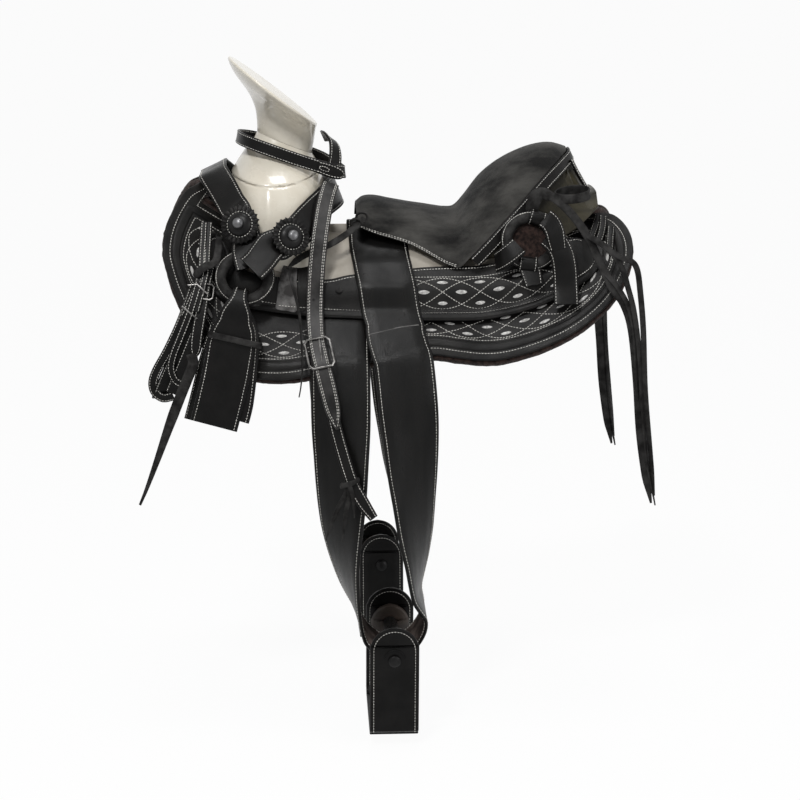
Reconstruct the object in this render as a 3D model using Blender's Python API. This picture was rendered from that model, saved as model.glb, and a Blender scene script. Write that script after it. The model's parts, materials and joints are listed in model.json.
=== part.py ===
# Charro stock saddle: wooden tree with a plate horn, suede seat, skirts on felt-lined pads,
# rigging rings, stirrup leathers and stirrups. Metres. +X runs from the horn to the cantle,
# -Y is the near (left) side and +Z is up. The origin is on the centre plane, where the two
# bearing faces of the linings meet.
import math

import bmesh
import bpy
from mathutils import Matrix, Vector
from mathutils.bvhtree import BVHTree

# Shape of the horse side of the saddle
PITCH_TOP = math.radians(40)
PITCH_LOW = math.radians(65)
FLAT_END = 0.100
BEND_END = 0.260
FRONT_TWIST = math.radians(20)
FRONT_START = -0.110
REAR_START = 0.100
END_REACH = 0.180
FRONT_RISE = 0.035
REAR_RISE = 0.050

# Layers, measured outward from the bearing face
GAP = 0.0004
LINING_T = 0.0139
BASTO_LOW = 0.0143
BASTO_T = 0.0040
BAR_LOW = 0.0203
BAR_HIGH = 0.0423
UPPER_OVER_BAR = 0.0427
UPPER_AT_HEM = 0.0250
UPPER_OVER_BASTO = 0.0187
UPPER_T = 0.0040

# Tree
BAR_FRONT = -0.232
BAR_REAR = 0.238
BAR_INNER = 0.030
BAR_OUTER = 0.132
SEAT_T = 0.0080

# Stirrup leathers and stirrups
LEATHER_W = 0.085
LEATHER_T = 0.0045
SWING_X = -0.040
SWING_S = 0.187
SWING_N = 0.0365
STIRRUP_X = -0.0225
STIRRUP_Y = 0.212
STIRRUP_Z = -0.5600
STIRRUP_TILT = math.radians(6)
STIRRUP_DEPTH = 0.070
STIRRUP_HALF = 0.0745
COVER_T = 0.0040
FRAME_T = 0.0100
BOLT_R = 0.0050
BOLT_SLEEVE_R = 0.0105
BOLT_HEAD_R = 0.0085

# Straps and rings
STRAP_T = 0.0035
RING_R = 0.034
RING_TUBE = 0.008
ROSETTE_R = 0.029
CONCHO_R = 0.0175


def wipe():
    for obj in list(bpy.data.objects):
        bpy.data.objects.remove(obj, do_unlink=True)


wipe()
SADDLE = bpy.data.collections.new("charro_saddle")
CUTTERS = bpy.data.collections.new("cutters")
bpy.context.scene.collection.children.link(SADDLE)
bpy.context.scene.collection.children.link(CUTTERS)


def finish(name, colour, rough=0.6, metal=0.0):
    mat = bpy.data.materials.new(name)
    mat.use_nodes = True
    node = mat.node_tree.nodes["Principled BSDF"]
    node.inputs["Base Color"].default_value = (colour[0], colour[1], colour[2], 1)
    node.inputs["Roughness"].default_value = rough
    node.inputs["Metallic"].default_value = metal
    mat.diffuse_color = (colour[0], colour[1], colour[2], 1)
    return mat


CREAM = finish("cream_lacquered_wood", (0.72, 0.66, 0.54), 0.35)
OLIVE = finish("olive_cantle_leather", (0.10, 0.09, 0.06), 0.5)
SUEDE = finish("grey_suede", (0.09, 0.085, 0.085), 0.95)
BLACK = finish("black_leather", (0.018, 0.016, 0.016), 0.45)
SKIRTING = finish("black_skirt_leather", (0.022, 0.020, 0.020), 0.5)
ARCION = finish("black_stirrup_leather", (0.020, 0.018, 0.018), 0.4)
THONG = finish("grey_thong_leather", (0.06, 0.055, 0.055), 0.8)
FELT = finish("brown_felt", (0.12, 0.075, 0.06), 1.0)
STEEL = finish("dark_steel", (0.25, 0.25, 0.26), 0.35, 1.0)
WIRE = finish("bright_wire", (0.60, 0.60, 0.58), 0.3, 1.0)
WOOD = finish("stirrup_wood", (0.22, 0.13, 0.07), 0.6)


# Shared shapes of the sides
def flank(s, n):
    pitch = PITCH_TOP
    y = s * math.cos(PITCH_TOP)
    z = -s * math.sin(PITCH_TOP)
    if s > FLAT_END:
        radius = (BEND_END - FLAT_END) / (PITCH_LOW - PITCH_TOP)
        pitch = PITCH_TOP + (min(s, BEND_END) - FLAT_END) / radius
        y = FLAT_END * math.cos(PITCH_TOP) + radius * (math.sin(pitch) - math.sin(PITCH_TOP))
        z = -FLAT_END * math.sin(PITCH_TOP) + radius * (math.cos(pitch) - math.cos(PITCH_TOP))
    if s > BEND_END:
        y += (s - BEND_END) * math.cos(PITCH_LOW)
        z -= (s - BEND_END) * math.sin(PITCH_LOW)
    return y + n * math.sin(pitch), z + n * math.cos(pitch)


PIVOT = flank(0.150, 0.0)


def skin(side, x, s, n):
    y, z = flank(s, n)
    turn = 0.0
    lift = 0.0
    if x < FRONT_START:
        reach = (FRONT_START - x) / END_REACH
        turn = FRONT_TWIST * reach ** 1.3
        lift = FRONT_RISE * reach ** 1.5
    if x > REAR_START:
        lift = REAR_RISE * ((x - REAR_START) / END_REACH) ** 1.5
    dy = y - PIVOT[0]
    dz = z - PIVOT[1]
    out = PIVOT[0] + dy * math.cos(turn) + dz * math.sin(turn)
    up = PIVOT[1] - dy * math.sin(turn) + dz * math.cos(turn) + lift
    return Vector((x, side * out, up))


def outward(side, x, s):
    return (skin(side, x, s, 0.05) - skin(side, x, s, 0.0)).normalized()


def blend(t):
    t = max(0.0, min(1.0, t))
    return t * t * (3 - 2 * t)


def lookup(rows, key):
    if key <= rows[0][0]:
        return rows[0][1:]
    if key >= rows[-1][0]:
        return rows[-1][1:]
    i = 0
    while rows[i + 1][0] < key:
        i += 1
    before = rows[max(i - 1, 0)]
    here = rows[i]
    after = rows[i + 1]
    later = rows[min(i + 2, len(rows) - 1)]
    step = after[0] - here[0]
    t = (key - here[0]) / step
    found = []
    for c in range(1, len(here)):
        m0 = (after[c] - before[c]) / (after[0] - before[0]) * step
        m1 = (later[c] - here[c]) / (later[0] - here[0]) * step
        value = (2 * t ** 3 - 3 * t ** 2 + 1) * here[c] + (t ** 3 - 2 * t ** 2 + t) * m0
        value += (3 * t ** 2 - 2 * t ** 3) * after[c] + (t ** 3 - t ** 2) * m1
        found.append(value)
    return found


def smooth(points, per, cyclic=False):
    points = [Vector(p) for p in points]
    count = len(points)
    spans = count if cyclic else count - 1
    out = []
    for i in range(spans):
        if cyclic:
            a, b, c, d = (points[(i + k) % count] for k in (-1, 0, 1, 2))
        else:
            a = points[max(i - 1, 0)]
            b = points[i]
            c = points[i + 1]
            d = points[min(i + 2, count - 1)]
        for k in range(per):
            t = k / per
            m0 = (c - a) / 2
            m1 = (d - b) / 2
            p = b * (2 * t ** 3 - 3 * t ** 2 + 1) + m0 * (t ** 3 - 2 * t ** 2 + t)
            out.append(p + c * (3 * t ** 2 - 2 * t ** 3) + m1 * (t ** 3 - t ** 2))
    if not cyclic:
        out.append(points[-1])
    return out


# Makers of solids
def add_mesh(name, bm, mat, home=None):
    bmesh.ops.recalc_face_normals(bm, faces=bm.faces)
    if bm.calc_volume(signed=True) < 0:
        bmesh.ops.reverse_faces(bm, faces=bm.faces)
    mesh = bpy.data.meshes.new(name)
    bm.to_mesh(mesh)
    bm.free()
    mesh.materials.append(mat)
    obj = bpy.data.objects.new(name, mesh)
    (home or SADDLE).objects.link(obj)
    return obj


def loft(name, rings, mat, closed=False, home=None, turned=()):
    bm = bmesh.new()
    made = [[bm.verts.new(p) for p in ring] for ring in rings]
    size = len(rings[0])
    spans = len(made) if closed else len(made) - 1
    for i in range(spans):
        low = made[i]
        high = made[(i + 1) % len(made)]
        for k in range(size):
            j = (k + 1) % size
            if k in turned:
                bm.faces.new((low[k], low[j], high[k]))
                bm.faces.new((low[j], high[j], high[k]))
            else:
                bm.faces.new((low[k], low[j], high[j]))
                bm.faces.new((low[k], high[j], high[k]))
    if not closed:
        bm.faces.new(made[0])
        bm.faces.new(made[-1])
    bmesh.ops.triangulate(bm, faces=bm.faces)
    return add_mesh(name, bm, mat, home)


def steps(start, stop, step):
    count = max(1, round(abs(stop - start) / step))
    return [start + (stop - start) * k / count for k in range(count + 1)]


SHEET_X = steps(-0.350, FRONT_START, 0.030) + steps(REAR_START, 0.340, 0.034)
SHEET_S = [-0.060, 0.0, 0.050] + steps(FLAT_END, BEND_END, 0.032) + [0.290]


# The sides as flat facets, so that layers keep their distance everywhere
def facet(x, s):
    i = max(k for k in range(len(SHEET_X) - 1) if k == 0 or SHEET_X[k] <= x)
    j = max(k for k in range(len(SHEET_S) - 1) if k == 0 or SHEET_S[k] <= s)
    return SHEET_X[i], SHEET_X[i + 1], SHEET_S[j], SHEET_S[j + 1]


def on_facet(side, x, s, n):
    x0, x1, s0, s1 = facet(x, s)
    u = (x - x0) / (x1 - x0)
    v = (s - s0) / (s1 - s0)
    lower = skin(side, x1, s0, n)
    upper = skin(side, x0, s1, n)
    if u + v <= 1:
        corner = skin(side, x0, s0, n)
        return corner + (lower - corner) * u + (upper - corner) * v
    corner = skin(side, x1, s1, n)
    return corner + (upper - corner) * (1 - u) + (lower - corner) * (1 - v)


def slice_faces(bm, faces, spot, normal):
    whole = set(faces)
    for face in faces:
        whole.update(face.verts)
        whole.update(face.edges)
    bmesh.ops.bisect_plane(bm, geom=list(whole), dist=0.0004, plane_co=spot, plane_no=normal)


def sheet(name, side, outline, low, high, mat, home=None, extra_x=(), extra_s=()):
    bm = bmesh.new()
    bm.faces.new([bm.verts.new((x, s, 0)) for x, s in outline])
    for x in list(SHEET_X) + list(extra_x):
        slice_faces(bm, list(bm.faces), (x, 0, 0), (1, 0, 0))
    for s in list(SHEET_S) + list(extra_s):
        slice_faces(bm, list(bm.faces), (0, s, 0), (0, 1, 0))
    cells = {}
    for face in bm.faces:
        spot = face.calc_center_median()
        if spot.x < FRONT_START:
            cells.setdefault(facet(spot.x, spot.y), []).append(face)
    for cell, faces in cells.items():
        x0, x1, s0, s1 = cell
        slice_faces(bm, faces, (x0, s1, 0), (s1 - s0, x1 - x0, 0))
    bmesh.ops.triangulate(bm, faces=bm.faces)
    grown = bmesh.ops.extrude_face_region(bm, geom=list(bm.faces))
    for item in grown["geom"]:
        if isinstance(item, bmesh.types.BMVert):
            item.co.z = 1.0
    for vert in bm.verts:
        x, s, top = vert.co
        reach = high if top > 0.5 else low
        vert.co = on_facet(side, x, s, reach(x, s) if callable(reach) else reach)
    return add_mesh(name, bm, mat, home)


def ribbon(name, stations, thick, mat, per=3, closed=False, level=None):
    spine = smooth([st[0] for st in stations], per, closed)
    faces = smooth([st[1] for st in stations], per, closed)
    widths = smooth([(st[2], 0, 0) for st in stations], per, closed)
    rings = []
    for i, spot in enumerate(spine):
        if closed:
            run = spine[(i + 1) % len(spine)] - spine[i - 1]
        else:
            run = spine[min(i + 1, len(spine) - 1)] - spine[max(i - 1, 0)]
        run.normalize()
        wide = level or run.cross(faces[i]).normalized()
        half = wide * widths[i].x / 2
        deep = wide.cross(run) * thick / 2
        rings.append([spot - half - deep, spot + half - deep, spot + half + deep, spot - half + deep])
    return loft(name, rings, mat, closed, turned=(2,))


def tube(name, points, radius, mat, cyclic=False, sides=2):
    curve = bpy.data.curves.new(name, "CURVE")
    curve.dimensions = "3D"
    curve.bevel_depth = radius
    curve.bevel_resolution = sides
    curve.use_fill_caps = True
    curve.render_resolution_u = 0
    spline = curve.splines.new("POLY")
    spline.points.add(len(points) - 1)
    for spot, p in zip(spline.points, points):
        spot.co = (p[0], p[1], p[2], 1)
    spline.use_cyclic_u = cyclic
    curve.materials.append(mat)
    obj = bpy.data.objects.new(name, curve)
    SADDLE.objects.link(obj)
    return obj


def cut(target, cutter):
    mod = target.modifiers.new("cut_" + cutter.name, "BOOLEAN")
    mod.operation = "DIFFERENCE"
    mod.solver = "EXACT"
    mod.object = cutter
    cutter.hide_render = True
    cutter.display_type = "WIRE"


SIDES = (("left", -1), ("right", 1))


# Linings and pads: felt against the horse, leather over it
BASTO_OUTLINE = [
    (-0.259, 0.030), (-0.259, -0.016), (-0.260, -0.036), (-0.266, -0.038), (-0.274, -0.029),
    (-0.2861, -0.0165), (-0.3010, -0.002), (-0.3141, 0.013), (-0.3260, 0.036), (-0.3350, 0.0585),
    (-0.3415, 0.080), (-0.3448, 0.1000), (-0.3448, 0.119), (-0.3393, 0.140), (-0.3324, 0.159),
    (-0.3230, 0.179), (-0.3090, 0.205), (-0.2920, 0.226), (-0.2723, 0.242), (-0.2500, 0.254),
    (-0.2255, 0.2615), (-0.1950, 0.262), (-0.1600, 0.258), (-0.1200, 0.249), (-0.0400, 0.232),
    (0.0336, 0.2245), (0.0700, 0.2285), (0.0991, 0.2325), (0.1300, 0.236), (0.1589, 0.2365),
    (0.2000, 0.2345), (0.2376, 0.229), (0.2680, 0.219), (0.2930, 0.205), (0.3110, 0.187),
    (0.3235, 0.1655), (0.3300, 0.146), (0.3314, 0.126), (0.3285, 0.105), (0.3200, 0.080),
    (0.3080, 0.060), (0.2912, 0.048), (0.2700, 0.039), (0.2400, 0.0325), (0.2000, 0.030)]
LINING_OUTLINE = []
for x, s in BASTO_OUTLINE:
    LINING_OUTLINE.append((x * 1.006, s + (0.0045 if s > 0.15 else 0.0)))

for word, side in SIDES:
    sheet("lining_" + word, side, LINING_OUTLINE, 0.0, LINING_T, FELT)
    sheet("basto_" + word, side, BASTO_OUTLINE, BASTO_LOW, BASTO_LOW + BASTO_T, SKIRTING)

# Tree bars, grooved underneath where the stirrup leathers pass
BAR_OUTLINE = [
    (BAR_FRONT + 0.014, BAR_INNER), (BAR_FRONT + 0.004, BAR_INNER + 0.006),
    (BAR_FRONT, BAR_INNER + 0.020), (BAR_FRONT, BAR_OUTER - 0.030),
    (BAR_FRONT + 0.010, BAR_OUTER - 0.010), (BAR_FRONT + 0.032, BAR_OUTER),
    (-0.150, BAR_OUTER), (-0.130, BAR_OUTER - 0.004), (-0.100, BAR_OUTER - 0.008),
    (0.060, BAR_OUTER - 0.008), (0.110, BAR_OUTER - 0.002), (0.140, BAR_OUTER),
    (BAR_REAR - 0.032, BAR_OUTER), (BAR_REAR - 0.010, BAR_OUTER - 0.010),
    (BAR_REAR, BAR_OUTER - 0.030), (BAR_REAR, BAR_INNER + 0.020),
    (BAR_REAR - 0.004, BAR_INNER + 0.006), (BAR_REAR - 0.014, BAR_INNER)]
GROOVE = [(-0.152, 0.010), (-0.152, 0.160), (0.022, 0.160), (0.022, 0.010)]
GROOVE_LOW = 0.0150
GROOVE_HIGH = 0.0262
for word, side in SIDES:
    bar = sheet("bar_" + word, side, BAR_OUTLINE, BAR_LOW, BAR_HIGH, CREAM)
    groove = sheet("groove_" + word, side, GROOVE, GROOVE_LOW, GROOVE_HIGH, CREAM, CUTTERS)
    cut(bar, groove)


# Upper skirts: over the bars at the top, down onto the pads at the hem and at both ends
def upper_low(x, s):
    over = UPPER_OVER_BAR
    over += (UPPER_AT_HEM - UPPER_OVER_BAR) * blend((s - 0.132) / 0.036)
    on_bar = blend((x - BAR_FRONT + 0.036) / 0.032) * blend((BAR_REAR + 0.036 - x) / 0.032)
    return UPPER_OVER_BASTO + (over - UPPER_OVER_BASTO) * on_bar


def upper_high(x, s):
    return upper_low(x, s) + UPPER_T


UPPER_OUTLINE = [
    (-0.266, 0.062), (-0.277, 0.063), (-0.286, 0.072), (-0.291, 0.088), (-0.292, 0.110),
    (-0.289, 0.132), (-0.280, 0.150), (-0.262, 0.162), (-0.235, 0.168), (-0.200, 0.169),
    (-0.150, 0.170), (-0.085, 0.173), (0.000, 0.177), (0.060, 0.178), (0.110, 0.178),
    (0.180, 0.177), (0.230, 0.171), (0.262, 0.161), (0.282, 0.145), (0.289, 0.125),
    (0.286, 0.106), (0.274, 0.094), (0.250, 0.096), (0.200, 0.099), (0.150, 0.101),
    (0.090, 0.1025), (0.030, 0.1040), (-0.040, 0.1120), (-0.080, 0.1160), (-0.110, 0.1230),
    (-0.160, 0.1250), (-0.220, 0.1240), (-0.244, 0.1120), (-0.254, 0.085)]
UPPER_CUTS = (-0.268, -0.256, -0.248, -0.240, 0.242, 0.256, 0.268)
UPPER_ROWS = (0.136, 0.150, 0.158, 0.168)
for word, side in SIDES:
    sheet("upper_skirt_" + word, side, UPPER_OUTLINE, upper_low, upper_high, SKIRTING,
          extra_x=UPPER_CUTS, extra_s=UPPER_ROWS)


# Horn and fork
def oval(row, count, power=2.0):
    left = Vector((row[0], 0, row[1]))
    right = Vector((row[2], 0, row[3]))
    middle = (left + right) / 2
    along = (right - left) / 2
    ring = []
    for k in range(count):
        angle = 2 * math.pi * k / count
        c = math.cos(angle)
        d = math.sin(angle)
        c = math.copysign(abs(c) ** (2 / power), c)
        d = math.copysign(abs(d) ** (2 / power), d)
        ring.append(middle + along * c + Vector((0, row[4] * d, 0)))
    return ring


# Each row: front end x and z, rear end x and z, half width
HORN_ROWS = [
    (-0.2102, 0.1560, -0.1300, 0.1235, 0.0340), (-0.2105, 0.1720, -0.1290, 0.1315, 0.0345),
    (-0.2130, 0.1900, -0.1275, 0.1395, 0.0380), (-0.2200, 0.2077, -0.1262, 0.1475, 0.0470),
    (-0.2300, 0.2230, -0.1252, 0.1540, 0.0590), (-0.2400, 0.2368, -0.1245, 0.1585, 0.0720),
    (-0.2475, 0.2500, -0.1236, 0.1615, 0.0820), (-0.2510, 0.2592, -0.1226, 0.1636, 0.0875),
    (-0.2508, 0.2630, -0.1226, 0.1664, 0.0880), (-0.2480, 0.2634, -0.1250, 0.1692, 0.0850),
    (-0.2361, 0.2554, -0.1347, 0.1785, 0.0680), (-0.2163, 0.2419, -0.1529, 0.1938, 0.0420)]
loft("horn", [oval(row, 28) for row in HORN_ROWS], CREAM)

FORK_ROWS = [
    (-0.2100, 0.1556, -0.1302, 0.1231, 0.0338, 2.0), (-0.2165, 0.1440, -0.1260, 0.1160, 0.0410, 2.0),
    (-0.2280, 0.1300, -0.1210, 0.1060, 0.0560, 2.1), (-0.2400, 0.1120, -0.1160, 0.0920, 0.0760, 2.2),
    (-0.2480, 0.0940, -0.1115, 0.0770, 0.0920, 2.4), (-0.2520, 0.0720, -0.1080, 0.0580, 0.1040, 2.6),
    (-0.2540, 0.0450, -0.1050, 0.0340, 0.1130, 2.8), (-0.2545, 0.0150, -0.1040, 0.0080, 0.1190, 3.0),
    (-0.2545, -0.0150, -0.1035, -0.0200, 0.1220, 3.0), (-0.2545, -0.0450, -0.1035, -0.0480, 0.1230, 3.0)]
fork = loft("fork", [oval(row, 28, row[5]) for row in FORK_ROWS], CREAM)


# The fork is hollowed out to sit on the bars and to clear the horse's withers
FORK_SIDE = [(-0.290, 0.026), (-0.290, 0.270), (-0.080, 0.270), (-0.080, 0.026)]
for word, side in SIDES:
    seat = sheet("fork_foot_" + word, side, FORK_SIDE, -0.080, BAR_HIGH + GAP, CREAM, CUTTERS)
    cut(fork, seat)
rings = []
for x in (-0.290, -0.250, -0.210, -0.170, -0.130, -0.080):
    edge = skin(1, x, BAR_INNER, BAR_HIGH - 0.001)
    ring = [Vector((x, edge.y, -0.30)), Vector((x, -edge.y, -0.30))]
    for k in range(9):
        angle = math.pi * k / 8
        rise = 0.026 * math.sin(angle) ** 0.8
        ring.append(Vector((x, -edge.y * math.cos(angle), edge.z + rise)))
    rings.append(ring)
gullet = loft("gullet", rings, CREAM, home=CUTTERS)
cut(fork, gullet)


# Seat: suede over the ground seat and the face of the cantle
# Each row: x, half width, z at the edge, z in the middle, fullness of the crown
SEAT_ROWS = [
    (-0.066, 0.0740, 0.0230, 0.0500, 2.6), (-0.056, 0.0790, 0.0190, 0.0580, 2.6),
    (-0.040, 0.0830, 0.0130, 0.0600, 2.6), (-0.015, 0.0860, 0.0060, 0.0550, 2.6),
    (0.010, 0.0900, -0.0020, 0.0505, 2.6), (0.030, 0.0985, -0.0115, 0.0475, 2.4),
    (0.050, 0.1090, -0.0225, 0.0445, 2.2), (0.065, 0.1150, -0.0295, 0.0430, 2.0),
    (0.080, 0.1180, -0.0320, 0.0450, 1.9), (0.095, 0.1175, -0.0180, 0.0610, 1.9),
    (0.116, 0.1150, 0.0030, 0.0880, 1.9), (0.135, 0.1110, 0.0230, 0.1050, 1.9),
    (0.153, 0.1060, 0.0420, 0.1165, 2.0), (0.172, 0.0970, 0.0610, 0.1260, 2.0),
    (0.191, 0.0840, 0.0810, 0.1330, 2.1), (0.210, 0.0670, 0.0985, 0.1370, 2.2),
    (0.224, 0.0500, 0.1100, 0.1370, 2.3), (0.235, 0.0330, 0.1185, 0.1345, 2.3),
    (0.245, 0.0150, 0.1260, 0.1310, 2.3)]
ARCH = 7


def arch(x, half, edge_z, top_z, power):
    points = []
    for k in range(-ARCH, ARCH + 1):
        t = math.sin(math.pi / 2 * k / ARCH)
        points.append(Vector((x, half * t, edge_z + (top_z - edge_z) * (1 - abs(t) ** power))))
    return points


rings = []
for x in [row[0] for row in SEAT_ROWS]:
    half, edge_z, top_z, power = lookup(SEAT_ROWS, x)
    outer = arch(x, half, edge_z, top_z, power)
    inner_half = half - min(0.0070, half * 0.45)
    inner = arch(x, inner_half, edge_z + 0.0012, top_z - min(SEAT_T, (top_z - edge_z) * 0.6), power)
    rings.append(outer + inner[::-1])
loft("seat_cover", rings, SUEDE)

# Cantle: carved arch under the seat's rear half, its back sloping to the skirts
CANTLE_BACK = [
    (0.246, 0.0110, 0.1180, 0.1225, 2.3), (0.252, 0.0200, 0.1010, 0.1090, 2.3),
    (0.262, 0.0290, 0.0810, 0.0910, 2.3), (0.274, 0.0370, 0.0610, 0.0710, 2.3),
    (0.286, 0.0430, 0.0430, 0.0520, 2.3)]
CANTLE_FOOT = [
    (0.018, 0.070), (0.050, 0.088), (0.080, 0.090), (0.200, 0.090), (0.240, 0.086),
    (0.262, 0.076), (0.286, 0.058)]
rings = []
for x in [0.018, 0.034, 0.050, 0.065, 0.080, 0.095, 0.116, 0.135, 0.153, 0.172, 0.191, 0.210, 0.224,
          0.235, 0.2445, 0.252, 0.262, 0.274, 0.286]:
    if x < 0.245:
        half, edge_z, top_z, power = lookup(SEAT_ROWS, x)
        edge_half = half - min(0.0070, half * 0.45) - 0.0006
        top = arch(x, edge_half, edge_z + 0.0012, top_z - min(SEAT_T, (top_z - edge_z) * 0.6) - 0.0014, power)
    else:
        half, edge_z, top_z, power = lookup(CANTLE_BACK, x)
        top = arch(x, half, edge_z, top_z, power)
    foot = lookup(CANTLE_FOOT, x)[0]
    wall = min(foot + 0.002, 0.092)
    ring = [skin(-1, x, BAR_INNER + 0.001, UPPER_OVER_BAR + 0.0004)]
    ring.append(skin(-1, x, foot, UPPER_OVER_BAR + 0.0004))
    ring.append(skin(-1, x, wall, UPPER_OVER_BAR + UPPER_T + 0.0010))
    ring += top
    ring.append(skin(1, x, wall, UPPER_OVER_BAR + UPPER_T + 0.0010))
    ring.append(skin(1, x, foot, UPPER_OVER_BAR + 0.0004))
    ring.append(skin(1, x, BAR_INNER + 0.001, UPPER_OVER_BAR + 0.0004))
    base = ring[-1]
    rise = max(0.006, top[ARCH].z - 0.016 - base.z)
    for k in range(1, 8):
        angle = math.pi * k / 8
        ring.append(Vector((x, base.y * math.cos(angle), base.z + rise * math.sin(angle) ** 0.8)))
    rings.append(ring)
loft("cantle", rings, OLIVE)

# Binding: a stitched strap that lies on the cantle's side just under the seat's edge
stations = []
for x, half, edge_z, top_z, power in SEAT_ROWS[9:]:
    fade = blend((x - 0.200) / 0.045)
    along = Vector((0.72 - 0.27 * fade, 0, -0.69 - 0.20 * fade)).normalized()
    away = Vector((0.30 * fade, -1 + 0.55 * fade, 0.10)).normalized()
    stations.append((Vector((x, -half, edge_z)) + along * 0.0095 + away * 0.0030, away, 0.0180))
stations.append((Vector((0.2525, 0, 0.1215)), Vector((0.91, 0, 0.42)), 0.0180))
for centre, away, wide in stations[-2::-1]:
    stations.append((Vector((centre.x, -centre.y, centre.z)), Vector((away.x, -away.y, away.z)), wide))
ribbon("cantle_binding", stations, 0.0030, BLACK, per=2)


# Straps laid on the saddle's side: stations are x, distance down the side, height, width
def laid(side, x, s, n, wide):
    return (skin(side, x, s, n), outward(side, x, s), wide)


def placed(side, x, y, z, face, wide):
    return (Vector((x, side * y, z)), Vector((face[0], side * face[1], face[2])), wide)


def across_back(stations, crest):
    mirrored = []
    for spot, face, wide in stations[::-1]:
        mirrored.append((Vector((spot.x, -spot.y, spot.z)), Vector((face.x, -face.y, face.z)), wide))
    return stations + crest + mirrored


# Fork straps run from ring to ring over the front and over the rear of the fork
FORK_TREE = BVHTree.FromPolygons([v.co for v in fork.data.vertices], [p.vertices for p in fork.data.polygons])


def on_fork(side, x, z, lift, wide, lean=(0, 0, 0)):
    spot, face, index, far = FORK_TREE.ray_cast(Vector((x, side * 0.3, z)), Vector((0, -side, 0)))
    face = (face + Vector((lean[0], side * lean[1], lean[2]))).normalized()
    return (spot + Vector((0, side * lift, 0)), face, wide)


def flatten(path, k, reach):
    spot, face, wide = path[k]
    face = face.normalized()
    run = path[k + 1][0] - path[k - 1][0]
    run = (run - face * run.dot(face)).normalized() * reach
    path[k:k + 1] = [(spot - run, face, wide), (spot, face, wide), (spot + run, face, wide)]


FRONT_W = 0.044
front_half = [
    laid(-1, -0.2190, 0.1280, 0.0690, FRONT_W), laid(-1, -0.2245, 0.1080, 0.0690, FRONT_W),
    placed(-1, -0.2325, 0.1240, 0.0315, (-0.25, 0.92, 0.30), FRONT_W),
    placed(-1, -0.2465, 0.1030, 0.0590, (-0.38, 0.84, 0.38), FRONT_W),
    placed(-1, -0.2595, 0.0800, 0.0800, (-0.42, 0.72, 0.56), FRONT_W),
    placed(-1, -0.2735, 0.0500, 0.0985, (-0.34, 0.38, 0.86), FRONT_W)]
flatten(front_half, 2, 0.022)
crest = [placed(-1, -0.2750, 0.0260, 0.1020, (-0.46, 0.15, 0.86), FRONT_W),
         placed(-1, -0.2755, 0, 0.1030, (-0.48, 0, 0.86), FRONT_W),
         placed(-1, -0.2750, -0.0260, 0.1020, (-0.46, -0.15, 0.86), FRONT_W)]
ribbon("fork_strap_front", across_back(front_half, crest), STRAP_T, BLACK, per=2)

REAR_W = 0.046
rear_half = [
    laid(-1, -0.2190, 0.1360, 0.0840, REAR_W), laid(-1, -0.2070, 0.1260, 0.0860, REAR_W),
    placed(-1, -0.1895, 0.1460, 0.0060, (0, 0.92, 0.38), REAR_W),
    placed(-1, -0.1652, 0.1345, 0.0145, (0.34, 0.88, 0.33), REAR_W),
    on_fork(-1, -0.1376, 0.0385, 0.0110, REAR_W),
    on_fork(-1, -0.1180, 0.0560, 0.0110, REAR_W),
    placed(-1, -0.1010, 0.0400, 0.0660, (0.84, 0.40, 0.36), REAR_W)]
flatten(rear_half, 3, 0.017)
crest = [placed(-1, -0.0930, 0, 0.0700, (0.93, 0, 0.37), REAR_W)]
ribbon("fork_strap_rear", across_back(rear_half, crest), STRAP_T, BLACK, per=2)


def disc(name, centre, face, run, rows, sides, mat, lobes=0, depth=0.0, bow=0.0):
    wide = run.cross(face).normalized()
    run = face.cross(wide).normalized()
    rings = []
    for radius, height in rows:
        ring = []
        for k in range(sides):
            angle = 2 * math.pi * k / sides
            r = radius * (1 - depth * abs(math.sin(lobes * angle / 2)))
            along = r * math.cos(angle)
            lift = height - bow * along * along
            ring.append(centre + face * lift + run * along + wide * r * math.sin(angle))
        rings.append(ring)
    return loft(name, rings, mat)


# Scalloped leather rosettes, each under a domed metal concho
ROSETTE_ROWS = [(ROSETTE_R, 0.0), (ROSETTE_R, 0.0030)]
CONCHO_ROWS = [
    (CONCHO_R, 0.0), (CONCHO_R, 0.0012), (CONCHO_R * 0.80, 0.0038), (CONCHO_R * 0.55, 0.0050),
    (CONCHO_R * 0.50, 0.0066), (CONCHO_R * 0.46, 0.0086), (CONCHO_R * 0.30, 0.0104), (0.0018, 0.0110)]
for word, side in SIDES:
    for tag, path, k, rise, bow in (("front", front_half, 3, 0.0052, 0.0), ("rear", rear_half, 4, 0.0048, 0.0)):
        flip = Vector((1, -side, 1))
        spot = path[k][0] * flip
        face = (path[k][1] * flip).normalized()
        run = (path[k + 1][0] - path[k - 1][0]) * flip
        seat = spot + face * (STRAP_T / 2 + rise)
        disc("rosette_%s_%s" % (tag, word), seat, face, run, ROSETTE_ROWS, 48, BLACK, 24, 0.10, bow)
        disc("concho_%s_%s" % (tag, word), seat + face * 0.0038, face, run, CONCHO_ROWS, 14, STEEL)


# Rigging rings: steel rings sewn into leather
def ring_points(centre, face, radius, count):
    side_dir = Vector((0, 0, 1)).cross(face).normalized()
    up = face.cross(side_dir).normalized()
    spots = []
    for k in range(count):
        angle = 2 * math.pi * k / count
        spots.append(centre + side_dir * radius * math.cos(angle) + up * radius * math.sin(angle))
    return spots


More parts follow.
